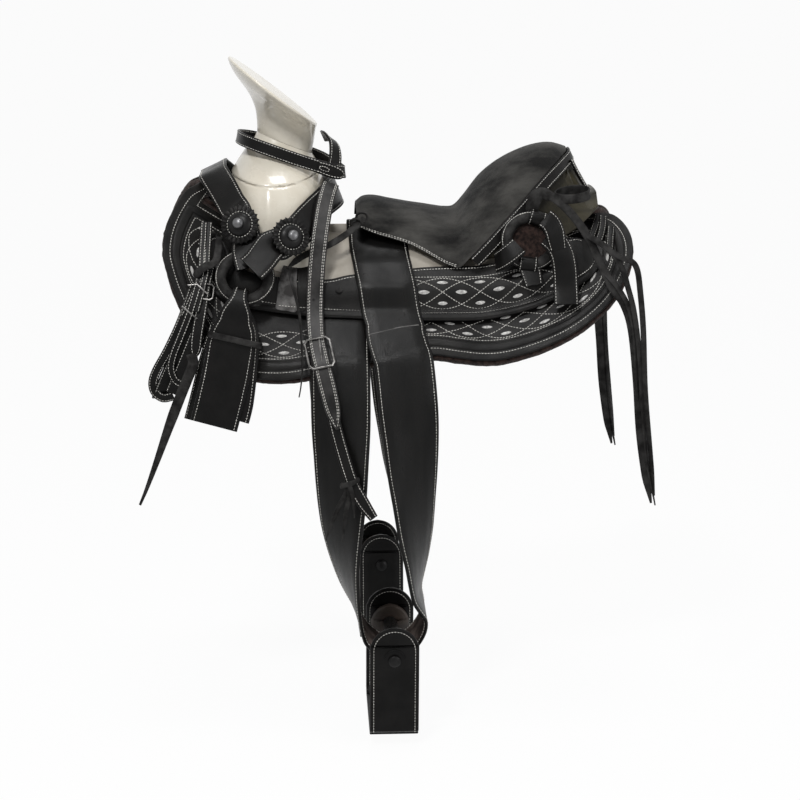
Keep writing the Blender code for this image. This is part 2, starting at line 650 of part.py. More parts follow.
FRONT_RING = (-0.2283, 0.1375, 0.0560)
REAR_RING = (0.1803, 0.1320, 0.0076)
REAR_RING_FACE = (0, 0.953, 0.303)
for word, side in SIDES:
    spots = ring_points(skin(side, *FRONT_RING), outward(side, *FRONT_RING[:2]), RING_R, 22)
    tube("front_ring_" + word, spots, RING_TUBE, BLACK, True, 2)
    centre = Vector((REAR_RING[0], side * REAR_RING[1], REAR_RING[2]))
    face = Vector((0, side * REAR_RING_FACE[1], REAR_RING_FACE[2]))
    tube("rear_ring_" + word, ring_points(centre, face, RING_R, 22), RING_TUBE, BLACK, True, 2)

# Rear rigging straps, wrapped over the ring
for word, side in SIDES:
    wrap = [
        placed(side, 0.1620, 0.1475, 0.0030, (-0.20, 0.90, 0.35), 0.030),
        placed(side, 0.1510, 0.1500, -0.0060, (-0.45, 0.86, 0.20), 0.030),
        placed(side, 0.1400, 0.1460, -0.0150, (-0.70, 0.70, 0.10), 0.030),
        placed(side, 0.1310, 0.1330, -0.0230, (-0.92, 0.35, 0.10), 0.030)]
    ribbon("rear_strap_front_" + word, wrap, STRAP_T, BLACK)
    drop = [
        placed(side, 0.2020, 0.1440, 0.0165, (0.20, 0.92, 0.34), 0.034),
        placed(side, 0.2140, 0.1480, 0.0080, (0.22, 0.95, 0.20), 0.036),
        placed(side, 0.2235, 0.1510, -0.0090, (0.12, 0.97, 0.20), 0.036),
        placed(side, 0.2278, 0.1530, -0.0310, (0, 0.93, 0.36), 0.036),
        placed(side, 0.2290, 0.1570, -0.0550, (0, 0.90, 0.44), 0.036),
        placed(side, 0.2290, 0.1680, -0.0790, (0, 0.90, 0.44), 0.036)]
    ribbon("rear_strap_rear_" + word, drop, STRAP_T, BLACK)

# Latigos: wide straps folded over the bottom of the front rings, each held by a thong keeper
LATIGO = [
    (-0.2333, 0.1542, 0.0568, 0.022), (-0.2342, 0.1580, 0.0663, 0.022), (-0.2372, 0.1700, 0.0702, 0.026),
    (-0.2405, 0.1850, 0.0665, 0.044), (-0.2435, 0.2000, 0.0600, 0.052), (-0.2463, 0.2150, 0.0560, 0.060),
    (-0.2510, 0.2380, 0.0525, 0.064), (-0.2565, 0.2640, 0.0505, 0.067), (-0.2650, 0.3000, 0.0495, 0.068),
    (-0.2745, 0.3360, 0.0490, 0.068)]
LATIGO_AXIS = (-0.2362, 0.1663, 0.0573)
LATIGO_BACK = (0.0, 0.0190, 0.0250, 0.0205, 0.0150, 0.0120, 0.0105, 0.0100, 0.0095)
for word, side in SIDES:
    path = [laid(side, *row) for row in LATIGO[:0:-1]]
    top = skin(side, *LATIGO[0][:3])
    path.append((top, (top - skin(side, *LATIGO_AXIS)).normalized(), LATIGO[0][3]))
    for row, drop in zip(LATIGO[1:9], LATIGO_BACK[1:]):
        x, s, n, wide = row
        path.append((skin(side, x + 0.1 * (s - 0.168), s, n - drop), -outward(side, x, s), wide))
    x, s, n, wide = LATIGO[9]
    path.append((skin(side, x + 0.017, s - 0.014, n - 0.0095), -outward(side, x, s), wide))
    ribbon("latigo_" + word, path, STRAP_T, BLACK, per=2)

    knot = skin(side, -0.2428, 0.2170, 0.0496)
    out = outward(side, -0.2428, 0.2170)
    run = (skin(side, -0.2500, 0.2380, 0.0466) - skin(side, -0.2400, 0.2000, 0.0515)).normalized()
    wide = run.cross(out).normalized()
    out = wide.cross(run).normalized()
    band = []
    for a, b in ((1, 0), (1, 1), (0, 1), (-1, 1), (-1, 0), (-1, -1), (0, -1), (1, -1)):
        spot = knot + wide * a * 0.0360 + out * b * 0.0128
        band.append((spot, (wide * a + out * b).normalized(), 0.0090))
    ribbon("latigo_keeper_" + word, band, 0.0016, THONG, per=2, closed=True)

# Horn loop: a stitched band round the neck, run out to an eye at its rear end
HORN_LOOP = [
    (-0.2390, 0.000, 0.1480, (-1, 0, 0.2)), (-0.2320, 0.032, 0.1460, (-0.7, 0.7, 0.1)),
    (-0.2130, 0.054, 0.1400, (-0.2, 1, 0.1)), (-0.1850, 0.063, 0.1305, (0, 1, 0.1)),
    (-0.1500, 0.066, 0.1185, (0, 1, 0.1)), (-0.1180, 0.065, 0.1085, (0, 1, 0.1)),
    (-0.0960, 0.062, 0.1030, (0.3, 1, 0.1)), (-0.0840, 0.050, 0.1000, (1, 0.2, 0.1)),
    (-0.0870, 0.034, 0.1010, (0.8, -0.6, 0.1)), (-0.0980, 0.014, 0.1065, (0.8, -0.6, 0)),
    (-0.1150, -0.018, 0.1140, (0.7, -0.7, 0)), (-0.1450, -0.052, 0.1225, (0.3, -1, 0.1)),
    (-0.1850, -0.062, 0.1335, (0, -1, 0.1)), (-0.2180, -0.048, 0.1425, (-0.4, -1, 0.1)),
    (-0.2340, -0.026, 0.1465, (-0.8, -0.6, 0.1))]
band = [placed(-1, x, y, z, face, 0.0190) for x, y, z, face in HORN_LOOP]
ribbon("horn_loop", band, STRAP_T, BLACK, per=2, closed=True)

# Hang strap on the near side: fixed top, swinging strap, wire buckle, tail and its tie
HANG_W = 0.0245
HANG_AXIS = (-0.1040, -0.0668, 0.0850)
top = [
    placed(-1, -0.1020, 0.0550, 0.0930, (0, 1, 0.2), 0.0200),
    placed(-1, -0.0985, 0.0510, 0.1090, (0.15, 0.95, 0.1), 0.0200),
    placed(-1, -0.0965, 0.0440, 0.1250, (0.45, 0.80, 0.2), 0.0200),
    placed(-1, -0.0985, 0.0320, 0.1400, (0.65, 0.40, 0.55), 0.0200),
    placed(-1, -0.1060, 0.0150, 0.1475, (0.75, 0.1, 0.65), 0.0190),
    placed(-1, -0.1130, -0.0080, 0.1470, (0.85, -0.35, 0.4), 0.0180)]
ribbon("hang_strap_loop", top, STRAP_T, BLACK)

HANG = [
    (-0.1040, 0.0705, 0.0845), (-0.1085, 0.0845, 0.0740), (-0.1135, 0.0985, 0.0565),
    (-0.1180, 0.1155, 0.0350), (-0.1218, 0.1312, 0.0130), (-0.1258, 0.1395, -0.0210),
    (-0.1290, 0.1480, -0.0660), (-0.1296, 0.1630, -0.0990), (-0.1273, 0.1830, -0.1285),
    (-0.1206, 0.2040, -0.1571), (-0.1118, 0.2170, -0.1930), (-0.1050, 0.2225, -0.2230),
    (-0.1000, 0.2250, -0.2450)]
strap = [placed(-1, x, y, z, (0, 1, 0.35 if z > -0.17 else 0.1), HANG_W) for x, y, z in HANG]
strap[-1] = (strap[-1][0], strap[-1][1], 0.0040)
strap[-2] = (strap[-2][0], strap[-2][1], 0.0200)
ribbon("hang_strap", strap, STRAP_T, BLACK, per=2)

run = (strap[9][0] - strap[8][0]).normalized()
out = Vector((0, -1, 0.45)).normalized()
wide = run.cross(out).normalized()
out = wide.cross(run).normalized()
middle = (strap[8][0] + strap[9][0]) / 2 + out * 0.0042
frame = []
for a, b in ((1, 0.75), (0.75, 1), (-0.75, 1), (-1, 0.75), (-1, -0.75), (-0.75, -1), (0.75, -1), (1, -0.75)):
    frame.append(middle + wide * a * 0.0180 + run * b * 0.0230)
tube("hang_strap_buckle", frame, 0.0017, WIRE, True)

TAIL = [
    (-0.1240, 0.1790, -0.1390), (-0.1190, 0.1960, -0.1640), (-0.1115, 0.2085, -0.1975),
    (-0.1030, 0.2160, -0.2405), (-0.0915, 0.2260, -0.2839), (-0.0796, 0.2370, -0.3203),
    (-0.0650, 0.2440, -0.3470), (-0.0500, 0.2480, -0.3690)]
tail = [placed(-1, x, y, z, (0, 1, 0.2), 0.0180) for x, y, z in TAIL]
tail[-1] = (tail[-1][0], tail[-1][1], 0.0130)
ribbon("hang_strap_tail", tail, STRAP_T, BLACK)
TIE = [(-0.1180, -0.2460, -0.4060), (-0.1020, -0.2450, -0.3650), (-0.0860, -0.2420, -0.3230),
       (-0.0815, -0.2420, -0.3180), (-0.0840, -0.2440, -0.3260), (-0.0900, -0.2460, -0.3660),
       (-0.0945, -0.2465, -0.4070)]
tube("tail_tie", smooth(TIE, 3), 0.0022, THONG)

# Spare straps bundled at the near ring, with their wire buckle and long thong
fold = [
    (-0.2812, 0.115, 0.0300), (-0.2880, 0.149, 0.0360), (-0.3038, 0.198, 0.0380),
    (-0.3214, 0.240, 0.0400), (-0.3400, 0.280, 0.0400), (-0.3500, 0.306, 0.0390)]
path = [laid(-1, x, s, n, 0.0210) for x, s, n in fold]
foot = skin(-1, -0.3535, 0.3160, 0.0340)
path.append((foot, (skin(-1, -0.3535, 0.33, 0.0340) - foot).normalized(), 0.0210))
for x, s, n in fold[:0:-1]:
    path.append((skin(-1, x + 0.001, s, min(n - 0.0100, 0.0275)), -outward(-1, x, s), 0.0210))
ribbon("strap_bundle", path, STRAP_T, BLACK)
billet = [
    (-0.2777, 0.119, 0.0400, 0.0180), (-0.2847, 0.151, 0.0440, 0.0180),
    (-0.2905, 0.184, 0.0450, 0.0180), (-0.2964, 0.216, 0.0460, 0.0180),
    (-0.2990, 0.236, 0.0466, 0.0160), (-0.3004, 0.246, 0.0470, 0.0030)]
ribbon("bundle_billet", [laid(-1, *row) for row in billet], STRAP_T, BLACK)
middle = skin(-1, -0.2862, 0.1600, 0.0484)
out = outward(-1, -0.2862, 0.1600)
run = (skin(-1, -0.2905, 0.184, 0.045) - skin(-1, -0.2847, 0.151, 0.044)).normalized()
wide = run.cross(out).normalized()
frame = []
for a, b in ((1, 0.75), (0.75, 1), (-0.75, 1), (-1, 0.75), (-1, -0.75), (-0.75, -1), (0.75, -1), (1, -0.75)):
    frame.append(middle + wide * a * 0.0135 + run * b * 0.0110)
tube("bundle_buckle", frame, 0.0014, WIRE, True)
LONG_THONG = [
    (-0.3065, -0.1885, -0.1555), (-0.3215, -0.1925, -0.1790), (-0.3367, -0.1950, -0.2240),
    (-0.3520, -0.1970, -0.2670), (-0.3665, -0.1980, -0.3180), (-0.3815, -0.1980, -0.3615)]
tube("bundle_thong", smooth(LONG_THONG, 3), 0.0035, THONG)

# Lace from the seat's front edge to the near rigging, its end hanging
LACE = [
    (-0.0572, 0.0860, 0.0340), (-0.0775, 0.0980, 0.0165), (-0.1066, 0.1110, 0.0000),
    (-0.1300, 0.1150, -0.0090), (-0.1500, 0.1250, -0.0165), (-0.1665, 0.1330, -0.0280),
    (-0.1710, 0.1430, -0.0460), (-0.1706, 0.1610, -0.0856), (-0.1725, 0.1785, -0.1323),
    (-0.1758, 0.1925, -0.1690)]
tube("seat_lace", smooth([(x, -y, z) for x, y, z in LACE], 3), 0.0023, THONG)

# Rear saddle strings: a bow and its hanging ends on each side
BOW = [
    (0.2010, 0.0610), (0.2133, 0.0725), (0.2310, 0.0820), (0.2500, 0.0815), (0.2535, 0.0720),
    (0.2410, 0.0640), (0.2210, 0.0590)]
STRING = [(0.2090, 0.052, 0.0720), (0.2317, 0.079, 0.0760), (0.2575, 0.117, 0.0730), (0.2840, 0.153, 0.0600),
          (0.3110, 0.191, 0.0450)]
STRING_END = [(0.3270, 0.1790, -0.0900), (0.3334, 0.1830, -0.1200), (0.3400, 0.1850, -0.1650),
              (0.3465, 0.1870, -0.2160), (0.3530, 0.1890, -0.2900), (0.3590, 0.1900, -0.3700)]
for word, side in SIDES:
    centre = Vector((0.2300, 0, 0.0700))
    loop = []
    for x, z in BOW:
        face = Vector((x, 0, z)) - centre
        loop.append((Vector((x, side * 0.1040, z)), face.normalized(), 0.0120))
    ribbon("rear_bow_" + word, loop, 0.0020, THONG, per=3, closed=True)
    spots = [skin(side, *row) for row in STRING]
    spots += [Vector((x, side * y, z)) for x, y, z in STRING_END]
    tube("rear_string_" + word, smooth(spots, 3), 0.0032, THONG)


# Stirrup leathers. The upper part wraps the bar and is held by the upper skirt
def over_skirt(x, s):
    return upper_high(x, s) + LEATHER_T / 2 + 0.0006


UNDER_N = BAR_LOW + LEATHER_T / 2 + 0.0003
HEM_N = BASTO_LOW + BASTO_T + LEATHER_T / 2 + 0.0010
for word, side in SIDES:
    path = []
    for x, s in ((-0.0155, 0.1865), (-0.0190, 0.1740), (-0.0212, 0.1620), (-0.0233, 0.1500),
                 (-0.0255, 0.1380), (-0.0275, 0.1260), (-0.0300, 0.1120), (-0.0315, 0.1010)):
        path.append(laid(side, x, s, over_skirt(x, s), LEATHER_W))
    for x, s, n in ((-0.0330, 0.0880, 0.0470), (-0.0340, 0.0760, 0.0454), (-0.0355, 0.0600, 0.0452),
                    (-0.0360, 0.0400, 0.0452)):
        path.append(laid(side, x, s, n, LEATHER_W))
    inner = skin(side, -0.0360, 0.0268, 0.0340)
    inward = (skin(side, -0.0360, 0.0, 0.0340) - inner).normalized()
    path.append((skin(side, -0.0360, 0.0280, 0.0442), (inward + outward(side, 0, 0)).normalized(), LEATHER_W))
    path.append((inner, inward, LEATHER_W))
    path.append((skin(side, -0.0360, 0.0280, 0.0242), (inward - outward(side, 0, 0)).normalized(), LEATHER_W))
    for x, s, n in ((-0.0390, 0.0400, UNDER_N), (-0.0480, 0.0650, UNDER_N), (-0.0630, 0.1000, UNDER_N),
                    (-0.0740, 0.1200, UNDER_N), (-0.0800, 0.1330, UNDER_N - 0.0004),
                    (-0.0880, 0.1500, HEM_N + 0.0002), (-0.0935, 0.1680, HEM_N), (-0.0944, 0.1780, HEM_N),
                    (-0.0944, 0.1865, HEM_N)):
        path.append((skin(side, x, s, n), -outward(side, x, s), LEATHER_W))
    ribbon("stirrup_leather_upper_" + word, path, LEATHER_T, ARCION, per=2, level=Vector((1, 0, 0)))

# The hanging part: down the front, round the bolt and up the back, turning edge on as it goes
TILT_C = math.cos(STIRRUP_TILT)
TILT_S = math.sin(STIRRUP_TILT)


def stirrup_point(side, x, w, h):
    y = STIRRUP_Y + w * TILT_C + h * TILT_S
    return Vector((STIRRUP_X + x, side * y, STIRRUP_Z - w * TILT_S + h * TILT_C))


FRONT_FALL = [
    (-0.0945, 0.1985, -0.2100, 4), (-0.0945, 0.2040, -0.2500, 12), (-0.0945, 0.2070, -0.2900, 24),
    (-0.0945, 0.2095, -0.3400, 34), (-0.0940, 0.2120, -0.3950, 48), (-0.0890, 0.2165, -0.4500, 66),
    (-0.0785, 0.2190, -0.5000, 80)]
REAR_FALL = [
    (0.0135, 0.2180, -0.4900, 80), (0.0130, 0.2175, -0.4450, 66), (0.0115, 0.2155, -0.4000, 52),
    (0.0095, 0.2140, -0.3550, 42), (0.0070, 0.2130, -0.3100, 30), (0.0045, 0.2120, -0.2600, 18),
    (0.0010, 0.2085, -0.2150, 6)]
LOOP = [
    (-0.0410, 0.0160, 78), (-0.0275, 0.0000, 50), (-0.0140, -0.0105, 20), (0.0, -0.0135, 0),
    (0.0140, -0.0105, -20), (0.0290, 0.0020, -50), (0.0420, 0.0210, -75), (0.0460, 0.0450, -90)]
for word, side in SIDES:
    path = []
    for x, s, n in ((-0.0944, 0.1885, HEM_N), (-0.0944, 0.1960, HEM_N), (-0.0945, 0.2080, HEM_N), (-0.0945, 0.2250, HEM_N + 0.0004),
                    (-0.0945, 0.2420, HEM_N + 0.0012)):
        path.append(laid(side, x, s, n, LEATHER_W))
    for x, y, z, turn in FRONT_FALL:
        angle = math.radians(turn)
        path.append(placed(side, x, y, z, (-math.sin(angle), math.cos(angle), 0), LEATHER_W))
    for x, h, turn in LOOP:
        angle = math.radians(turn)
        low = Vector((0, -side * TILT_S, -TILT_C))
        face = Vector((-math.sin(angle), 0, 0)) + low * math.cos(angle)
        path.append((stirrup_point(side, x, 0, h), face, LEATHER_W))
    for x, y, z, turn in REAR_FALL:
        angle = math.radians(turn)
        path.append(placed(side, x, y, z, (math.sin(angle), math.cos(angle), 0), LEATHER_W))
    rear_n = over_skirt(-0.0154, 0.1865)
    for x, s, n in ((-0.0040, 0.2420, rear_n - 0.0014), (-0.0085, 0.2250, rear_n - 0.0007),
                    (-0.0135, 0.2080, rear_n), (-0.0154, 0.1960, rear_n), (-0.0155, 0.1885, rear_n)):
        path.append(laid(side, x, s, n, LEATHER_W))
    ribbon("stirrup_leather_" + word, path, LEATHER_T, ARCION, per=2)

# Stirrups: a bent wooden frame in a leather cover with rounded wings, hung on a turned bolt
COVER_TOP = 0.050
COVER_FOOT = -0.117
CORNER = 0.016


def stirrup_u(side, half, top, foot, corner, depth):
    wing = []
    radius = depth / 2
    for drop in (0.0, 0.0015, 0.005, 0.011, 0.019, 0.027, radius):
        reach = radius - drop
        wing.append((half, top - drop, 90, max(0.006, 2 * math.sqrt(radius * radius - reach * reach))))
    for k in range(5):
        angle = math.pi / 2 * k / 4
        w = half - corner + corner * math.cos(angle)
        wing.append((w, foot + corner - corner * math.sin(angle), 90 - 22.5 * k, depth))
    stations = []
    for sign, rows in ((1, wing), (-1, wing[::-1])):
        for w, h, turn, wide in rows:
            angle = math.radians(turn)
            out = stirrup_point(side, 0, 1, 0) - stirrup_point(side, 0, 0, 0)
            up = stirrup_point(side, 0, 0, 1) - stirrup_point(side, 0, 0, 0)
            face = out * sign * math.sin(angle) - up * math.cos(angle)
            stations.append((stirrup_point(side, 0, sign * w, h), face, wide))
    return stations


def bolt(name, side, rows, mat, home=None):
    rings = []
    for w, radius in rows:
        ring = []
        for k in range(14):
            angle = 2 * math.pi * k / 14
            ring.append(stirrup_point(side, radius * math.cos(angle), w, radius * math.sin(angle)))
        rings.append(ring)
    return loft(name, rings, mat, home=home)


FRAME_HALF = STIRRUP_HALF - COVER_T - GAP - FRAME_T / 2
SLEEVE = FRAME_HALF - FRAME_T / 2 - 0.0005
HEAD = STIRRUP_HALF + 0.0004
BOLT_ROWS = [
    (-HEAD - 0.0045, 0.0060), (-HEAD - 0.0035, BOLT_HEAD_R), (-HEAD, BOLT_HEAD_R), (-HEAD, BOLT_R),
    (-SLEEVE, BOLT_R), (-SLEEVE, BOLT_SLEEVE_R), (SLEEVE, BOLT_SLEEVE_R), (SLEEVE, BOLT_R),
    (HEAD, BOLT_R), (HEAD, BOLT_HEAD_R), (HEAD + 0.0035, BOLT_HEAD_R), (HEAD + 0.0045, 0.0060)]
for word, side in SIDES:
    cover = ribbon("stirrup_cover_" + word, stirrup_u(
        side, STIRRUP_HALF - COVER_T / 2, COVER_TOP, COVER_FOOT, CORNER, STIRRUP_DEPTH), COVER_T, BLACK, per=1)
    wood = ribbon("stirrup_frame_" + word, stirrup_u(
        side, FRAME_HALF, 0.026, COVER_FOOT + COVER_T / 2 + GAP + FRAME_T / 2, CORNER - 0.0065, 0.056),
        FRAME_T, WOOD, per=1)
    drill = bolt("bolt_hole_" + word, side, [(-0.10, BOLT_R + 0.0003), (0.10, BOLT_R + 0.0003)], STEEL, CUTTERS)
    cut(cover, drill)
    cut(wood, drill)
    bolt("stirrup_bolt_" + word, side, BOLT_ROWS, STEEL)


# Moving pieces keep their origin on the axis they turn about
def hang_on(names, spot):
    for name in names:
        obj = bpy.data.objects[name]
        obj.data.transform(Matrix.Translation(-spot))
        obj.location = spot


for word, side in SIDES:
    hang_on(["stirrup_leather_" + word], skin(side, SWING_X, SWING_S, SWING_N))
    stirrup = ["stirrup_cover_" + word, "stirrup_frame_" + word, "stirrup_bolt_" + word]
    hang_on(stirrup, stirrup_point(side, 0, 0, 0))
    hang_on(["latigo_" + word, "latigo_keeper_" + word], skin(side, *LATIGO_AXIS))
hang_on(["hang_strap", "hang_strap_buckle", "hang_strap_tail", "tail_tie"], Vector(HANG_AXIS))
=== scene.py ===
# Looks of a charro stock saddle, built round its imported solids.
# Metres, +X from the horn to the cantle, -Y the near (left) side, +Z up.
import json
import math

import bmesh
import bpy
import numpy as np
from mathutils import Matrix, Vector, noise

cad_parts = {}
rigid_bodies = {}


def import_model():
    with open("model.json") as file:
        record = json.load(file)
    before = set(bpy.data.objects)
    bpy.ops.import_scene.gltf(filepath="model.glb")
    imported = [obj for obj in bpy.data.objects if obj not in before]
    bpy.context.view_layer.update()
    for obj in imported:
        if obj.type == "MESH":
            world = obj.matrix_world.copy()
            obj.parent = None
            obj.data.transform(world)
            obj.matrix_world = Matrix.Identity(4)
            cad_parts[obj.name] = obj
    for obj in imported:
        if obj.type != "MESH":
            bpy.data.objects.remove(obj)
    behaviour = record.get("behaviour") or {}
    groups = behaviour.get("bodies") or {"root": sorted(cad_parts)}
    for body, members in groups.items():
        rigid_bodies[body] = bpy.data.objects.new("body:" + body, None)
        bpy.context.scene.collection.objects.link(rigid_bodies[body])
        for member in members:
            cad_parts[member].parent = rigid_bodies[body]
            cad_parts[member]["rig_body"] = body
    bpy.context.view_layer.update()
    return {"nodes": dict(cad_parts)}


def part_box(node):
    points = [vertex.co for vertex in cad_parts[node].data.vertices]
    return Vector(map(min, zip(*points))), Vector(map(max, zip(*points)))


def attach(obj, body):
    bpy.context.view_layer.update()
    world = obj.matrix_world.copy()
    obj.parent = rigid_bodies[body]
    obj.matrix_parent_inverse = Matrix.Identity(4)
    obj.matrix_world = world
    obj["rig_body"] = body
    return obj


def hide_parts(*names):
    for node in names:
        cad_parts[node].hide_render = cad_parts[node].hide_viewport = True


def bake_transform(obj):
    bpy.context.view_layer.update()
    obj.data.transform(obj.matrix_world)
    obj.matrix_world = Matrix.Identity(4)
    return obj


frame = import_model()
NODES = frame["nodes"]
SIDES = (("left", -1), ("right", 1))
UP = Vector((0, 0, 1))

# Camera: level with the seat, a little ahead of the saddle's middle
AIM = Vector((0, 0, -0.2514))
AZIMUTH = math.radians(-3)
ELEVATION = math.radians(12)
DISTANCE = 3.2
LENS = 95.04


def place(name, data):
    obj = bpy.data.objects.new(name, data)
    bpy.context.scene.collection.objects.link(obj)
    return obj


def add_camera():
    data = bpy.data.cameras.new("camera")
    data.lens = LENS
    data.sensor_width = 36
    data.clip_end = 50
    obj = place("camera", data)
    level = math.cos(ELEVATION)
    back = Vector((math.sin(AZIMUTH) * level, -math.cos(AZIMUTH) * level, math.sin(ELEVATION)))
    obj.location = AIM + back * DISTANCE
    obj.rotation_euler = back.to_track_quat("Z", "Y").to_euler()
    bpy.context.scene.camera = obj


add_camera()


# Materials
RAMP_STOPS = (0.38, 0.64)


def set_inputs(node, values):
    for key, value in values.items():
        node.inputs[key.replace("_", " ")].default_value = value
    return node


def new_node(tree, kind, **values):
    return set_inputs(tree.nodes.new("ShaderNode" + kind), values)


def surface(name, dark, light, patch, rough, grain, depth, streak=(1, 1, 1), cells=False, **values):
    """Colour and roughness drift over patches of size 1/patch, and a fine grain gives the bump."""
    mat = bpy.data.materials.new(name)
    mat.use_nodes = True
    tree = mat.node_tree
    link = tree.links.new
    shade = set_inputs(tree.nodes["Principled BSDF"], values)
    where = new_node(tree, "TexCoord")
    stretch = new_node(tree, "Mapping", Scale=streak)
    link(where.outputs["Object"], stretch.inputs["Vector"])
    drift = new_node(tree, "TexNoise", Scale=patch, Detail=6, Roughness=0.6)
    link(stretch.outputs["Vector"], drift.inputs["Vector"])
    ramp = new_node(tree, "ValToRGB")
    for stop, spot, colour in zip(ramp.color_ramp.elements, RAMP_STOPS, (dark, light)):
        stop.position = spot
        stop.color = (*colour, 1)
    link(drift.outputs["Fac"], ramp.inputs["Fac"])
    link(ramp.outputs["Color"], shade.inputs["Base Color"])
    spread = new_node(tree, "MapRange", From_Min=0.3, From_Max=0.7, To_Min=rough[1], To_Max=rough[0])
    link(drift.outputs["Fac"], spread.inputs["Value"])
    link(spread.outputs["Result"], shade.inputs["Roughness"])
    fine = new_node(tree, "TexVoronoi" if cells else "TexNoise", Scale=grain)
    link(where.outputs["Object"], fine.inputs["Vector"])
    bump = new_node(tree, "Bump", Strength=0.6, Distance=depth)
    link(fine.outputs["Distance" if cells else "Fac"], bump.inputs["Height"])
    link(bump.outputs["Normal"], shade.inputs["Normal"])
    return mat


# Each: name, dark and light colour, patches, least and greatest roughness, grain and its depth
CREAM = surface("cream_lacquer", (0.55, 0.50, 0.41), (0.66, 0.62, 0.53), 9, (0.20, 0.34), 60, 0.0006,
                Coat_Weight=0.4)
# The bars' cream: duller, and darker as painted shade, since the bars sit in shadow under the seat and skirts
DULL_SHADED_CREAM = surface("dull_cream_painted_shade", (0.25, 0.225, 0.19), (0.38, 0.35, 0.30), 9, (0.40, 0.55), 60, 0.0006,
               Specular_IOR_Level=0.2)
OLIVE = surface("olive_leather", (0.012, 0.0105, 0.0065), (0.040, 0.035, 0.021), 25, (0.30, 0.5), 900, 0.0002,
                cells=True, Specular_IOR_Level=0.15)
SUEDE = surface("mottled_suede", (0.0050, 0.0048, 0.0045), (0.052, 0.050, 0.046), 21, (0.85, 1.0), 1400,
                0.0009, (0.5, 1, 1), Sheen_Weight=0.12, Sheen_Roughness=0.5, Specular_IOR_Level=0.15)
BLACK = surface("strap_leather", (0.0012, 0.0011, 0.0010), (0.0048, 0.0044, 0.0041), 30, (0.26, 0.44), 1100,
                0.00025, cells=True, Specular_IOR_Level=0.13)
SKIRTING = surface("skirt_leather", (0.0016, 0.0015, 0.0014), (0.0095, 0.0089, 0.0083), 26, (0.32, 0.52),
                   700, 0.00035, cells=True, Specular_IOR_Level=0.14)
ARCION = surface("stirrup_leather", (0.0010, 0.0010, 0.0009), (0.0055, 0.0052, 0.0049), 16, (0.24, 0.44),
                 1000, 0.00025, (2.2, 2.2, 0.6), cells=True, Specular_IOR_Level=0.15)
FLESH = surface("flesh_side", (0.022, 0.017, 0.015), (0.095, 0.075, 0.067), 45, (0.85, 1.0), 1500, 0.0008,
                Specular_IOR_Level=0.1)
LACE = surface("lace_leather", (0.006, 0.0056, 0.0054), (0.027, 0.026, 0.025), 60, (0.50, 0.80), 1300,
               0.0005, Specular_IOR_Level=0.12)
PALE = surface("pale_worn_leather", (0.030, 0.028, 0.027), (0.17, 0.165, 0.16), 40, (0.45, 0.7), 900,
               0.0004, Specular_IOR_Level=0.15)
GREY = surface("worn_grey_leather", (0.005, 0.0047, 0.0045), (0.036, 0.034, 0.033), 26, (0.32, 0.5), 900,
               0.0003, Specular_IOR_Level=0.2)
FELT = surface("wool_felt", (0.007, 0.0036, 0.003), (0.046, 0.027, 0.022), 160, (0.95, 1.0), 2200, 0.0025,
               Sheen_Weight=0.15, Specular_IOR_Level=0.1)
STEEL = surface("dark_steel", (0.07, 0.07, 0.072), (0.20, 0.20, 0.205), 40, (0.28, 0.42), 700, 0.0001,
                Metallic=0.85)
JAPAN = surface("blacked_steel", (0.004, 0.004, 0.004), (0.013, 0.0125, 0.0125), 60, (0.22, 0.40), 700,
                0.0001, Metallic=0.2, Specular_IOR_Level=0.15)
WIRE = surface("bright_wire", (0.08, 0.078, 0.075), (0.30, 0.29, 0.28), 80, (0.22, 0.38), 900, 0.0001,
               Metallic=1.0)
WOOD = surface("bent_wood", (0.010, 0.007, 0.005), (0.034, 0.022, 0.015), 30, (0.5, 0.7), 400, 0.0004,
               (0.3, 1, 1))
THREAD = surface("waxed_thread", (0.34, 0.33, 0.30), (0.74, 0.72, 0.67), 300, (0.5, 0.7), 2500, 0.0003)
RAWHIDE = surface("pale_inlay", (0.26, 0.25, 0.24), (0.62, 0.61, 0.59), 260, (0.45, 0.6), 900, 0.0004)
# Near-black for the discs laid on the leather at holes: painted shade for the inside of each hole
HOLE_SHADE = surface("hole", (0.001, 0.001, 0.001), (0.003, 0.003, 0.003), 50, (0.9, 1.0), 500, 0.0001)


# Pieces
def mesh_object(name, verts, faces):
    mesh = bpy.data.meshes.new(name)
    mesh.from_pydata([tuple(v) for v in verts], [], faces)
    return place(name, mesh)


def add(name, verts, faces, mat, body, replaces=(), kinds=None):
    obj = mesh_object(name, verts, faces)
    mesh = obj.data
    mesh.validate()
    for item in mat if isinstance(mat, tuple) else (mat,):
        mesh.materials.append(item)
    if kinds:
        mesh.polygons.foreach_set("material_index", kinds)
    mesh.shade_smooth()
    if body:
        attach(obj, body)
    if replaces:
        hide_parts(*replaces)
    return obj


def body_of(node):
    return NODES[node]["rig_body"]


def face_out(obj):
    bm = bmesh.new()
    bm.from_mesh(obj.data)
    bmesh.ops.recalc_face_normals(bm, faces=bm.faces)
    bm.to_mesh(obj.data)
    bm.free()
    return obj


def tidy_faces(obj, sharp):
    face_out(obj).data.set_sharp_from_angle(angle=math.radians(sharp))
    return obj


def turns(count, more=0):
    """Even steps round a circle, in radians; more steps close it or overlap."""
    return [2 * math.pi * k / count for k in range(count + more)]


def skin_rings(rings, closed=False):
    size = len(rings[0])
    verts = [p for ring in rings for p in ring]
    faces = []
    for i in range(len(rings) if closed else len(rings) - 1):
        low = i * size
        high = (i + 1) % len(rings) * size
        for k in range(size):
            j = (k + 1) % size
            faces.append((low + k, low + j, high + j, high + k))
    if not closed:
        faces.append(tuple(range(size)))
        faces.append(tuple(range(len(verts) - size, len(verts))))
    return verts, faces


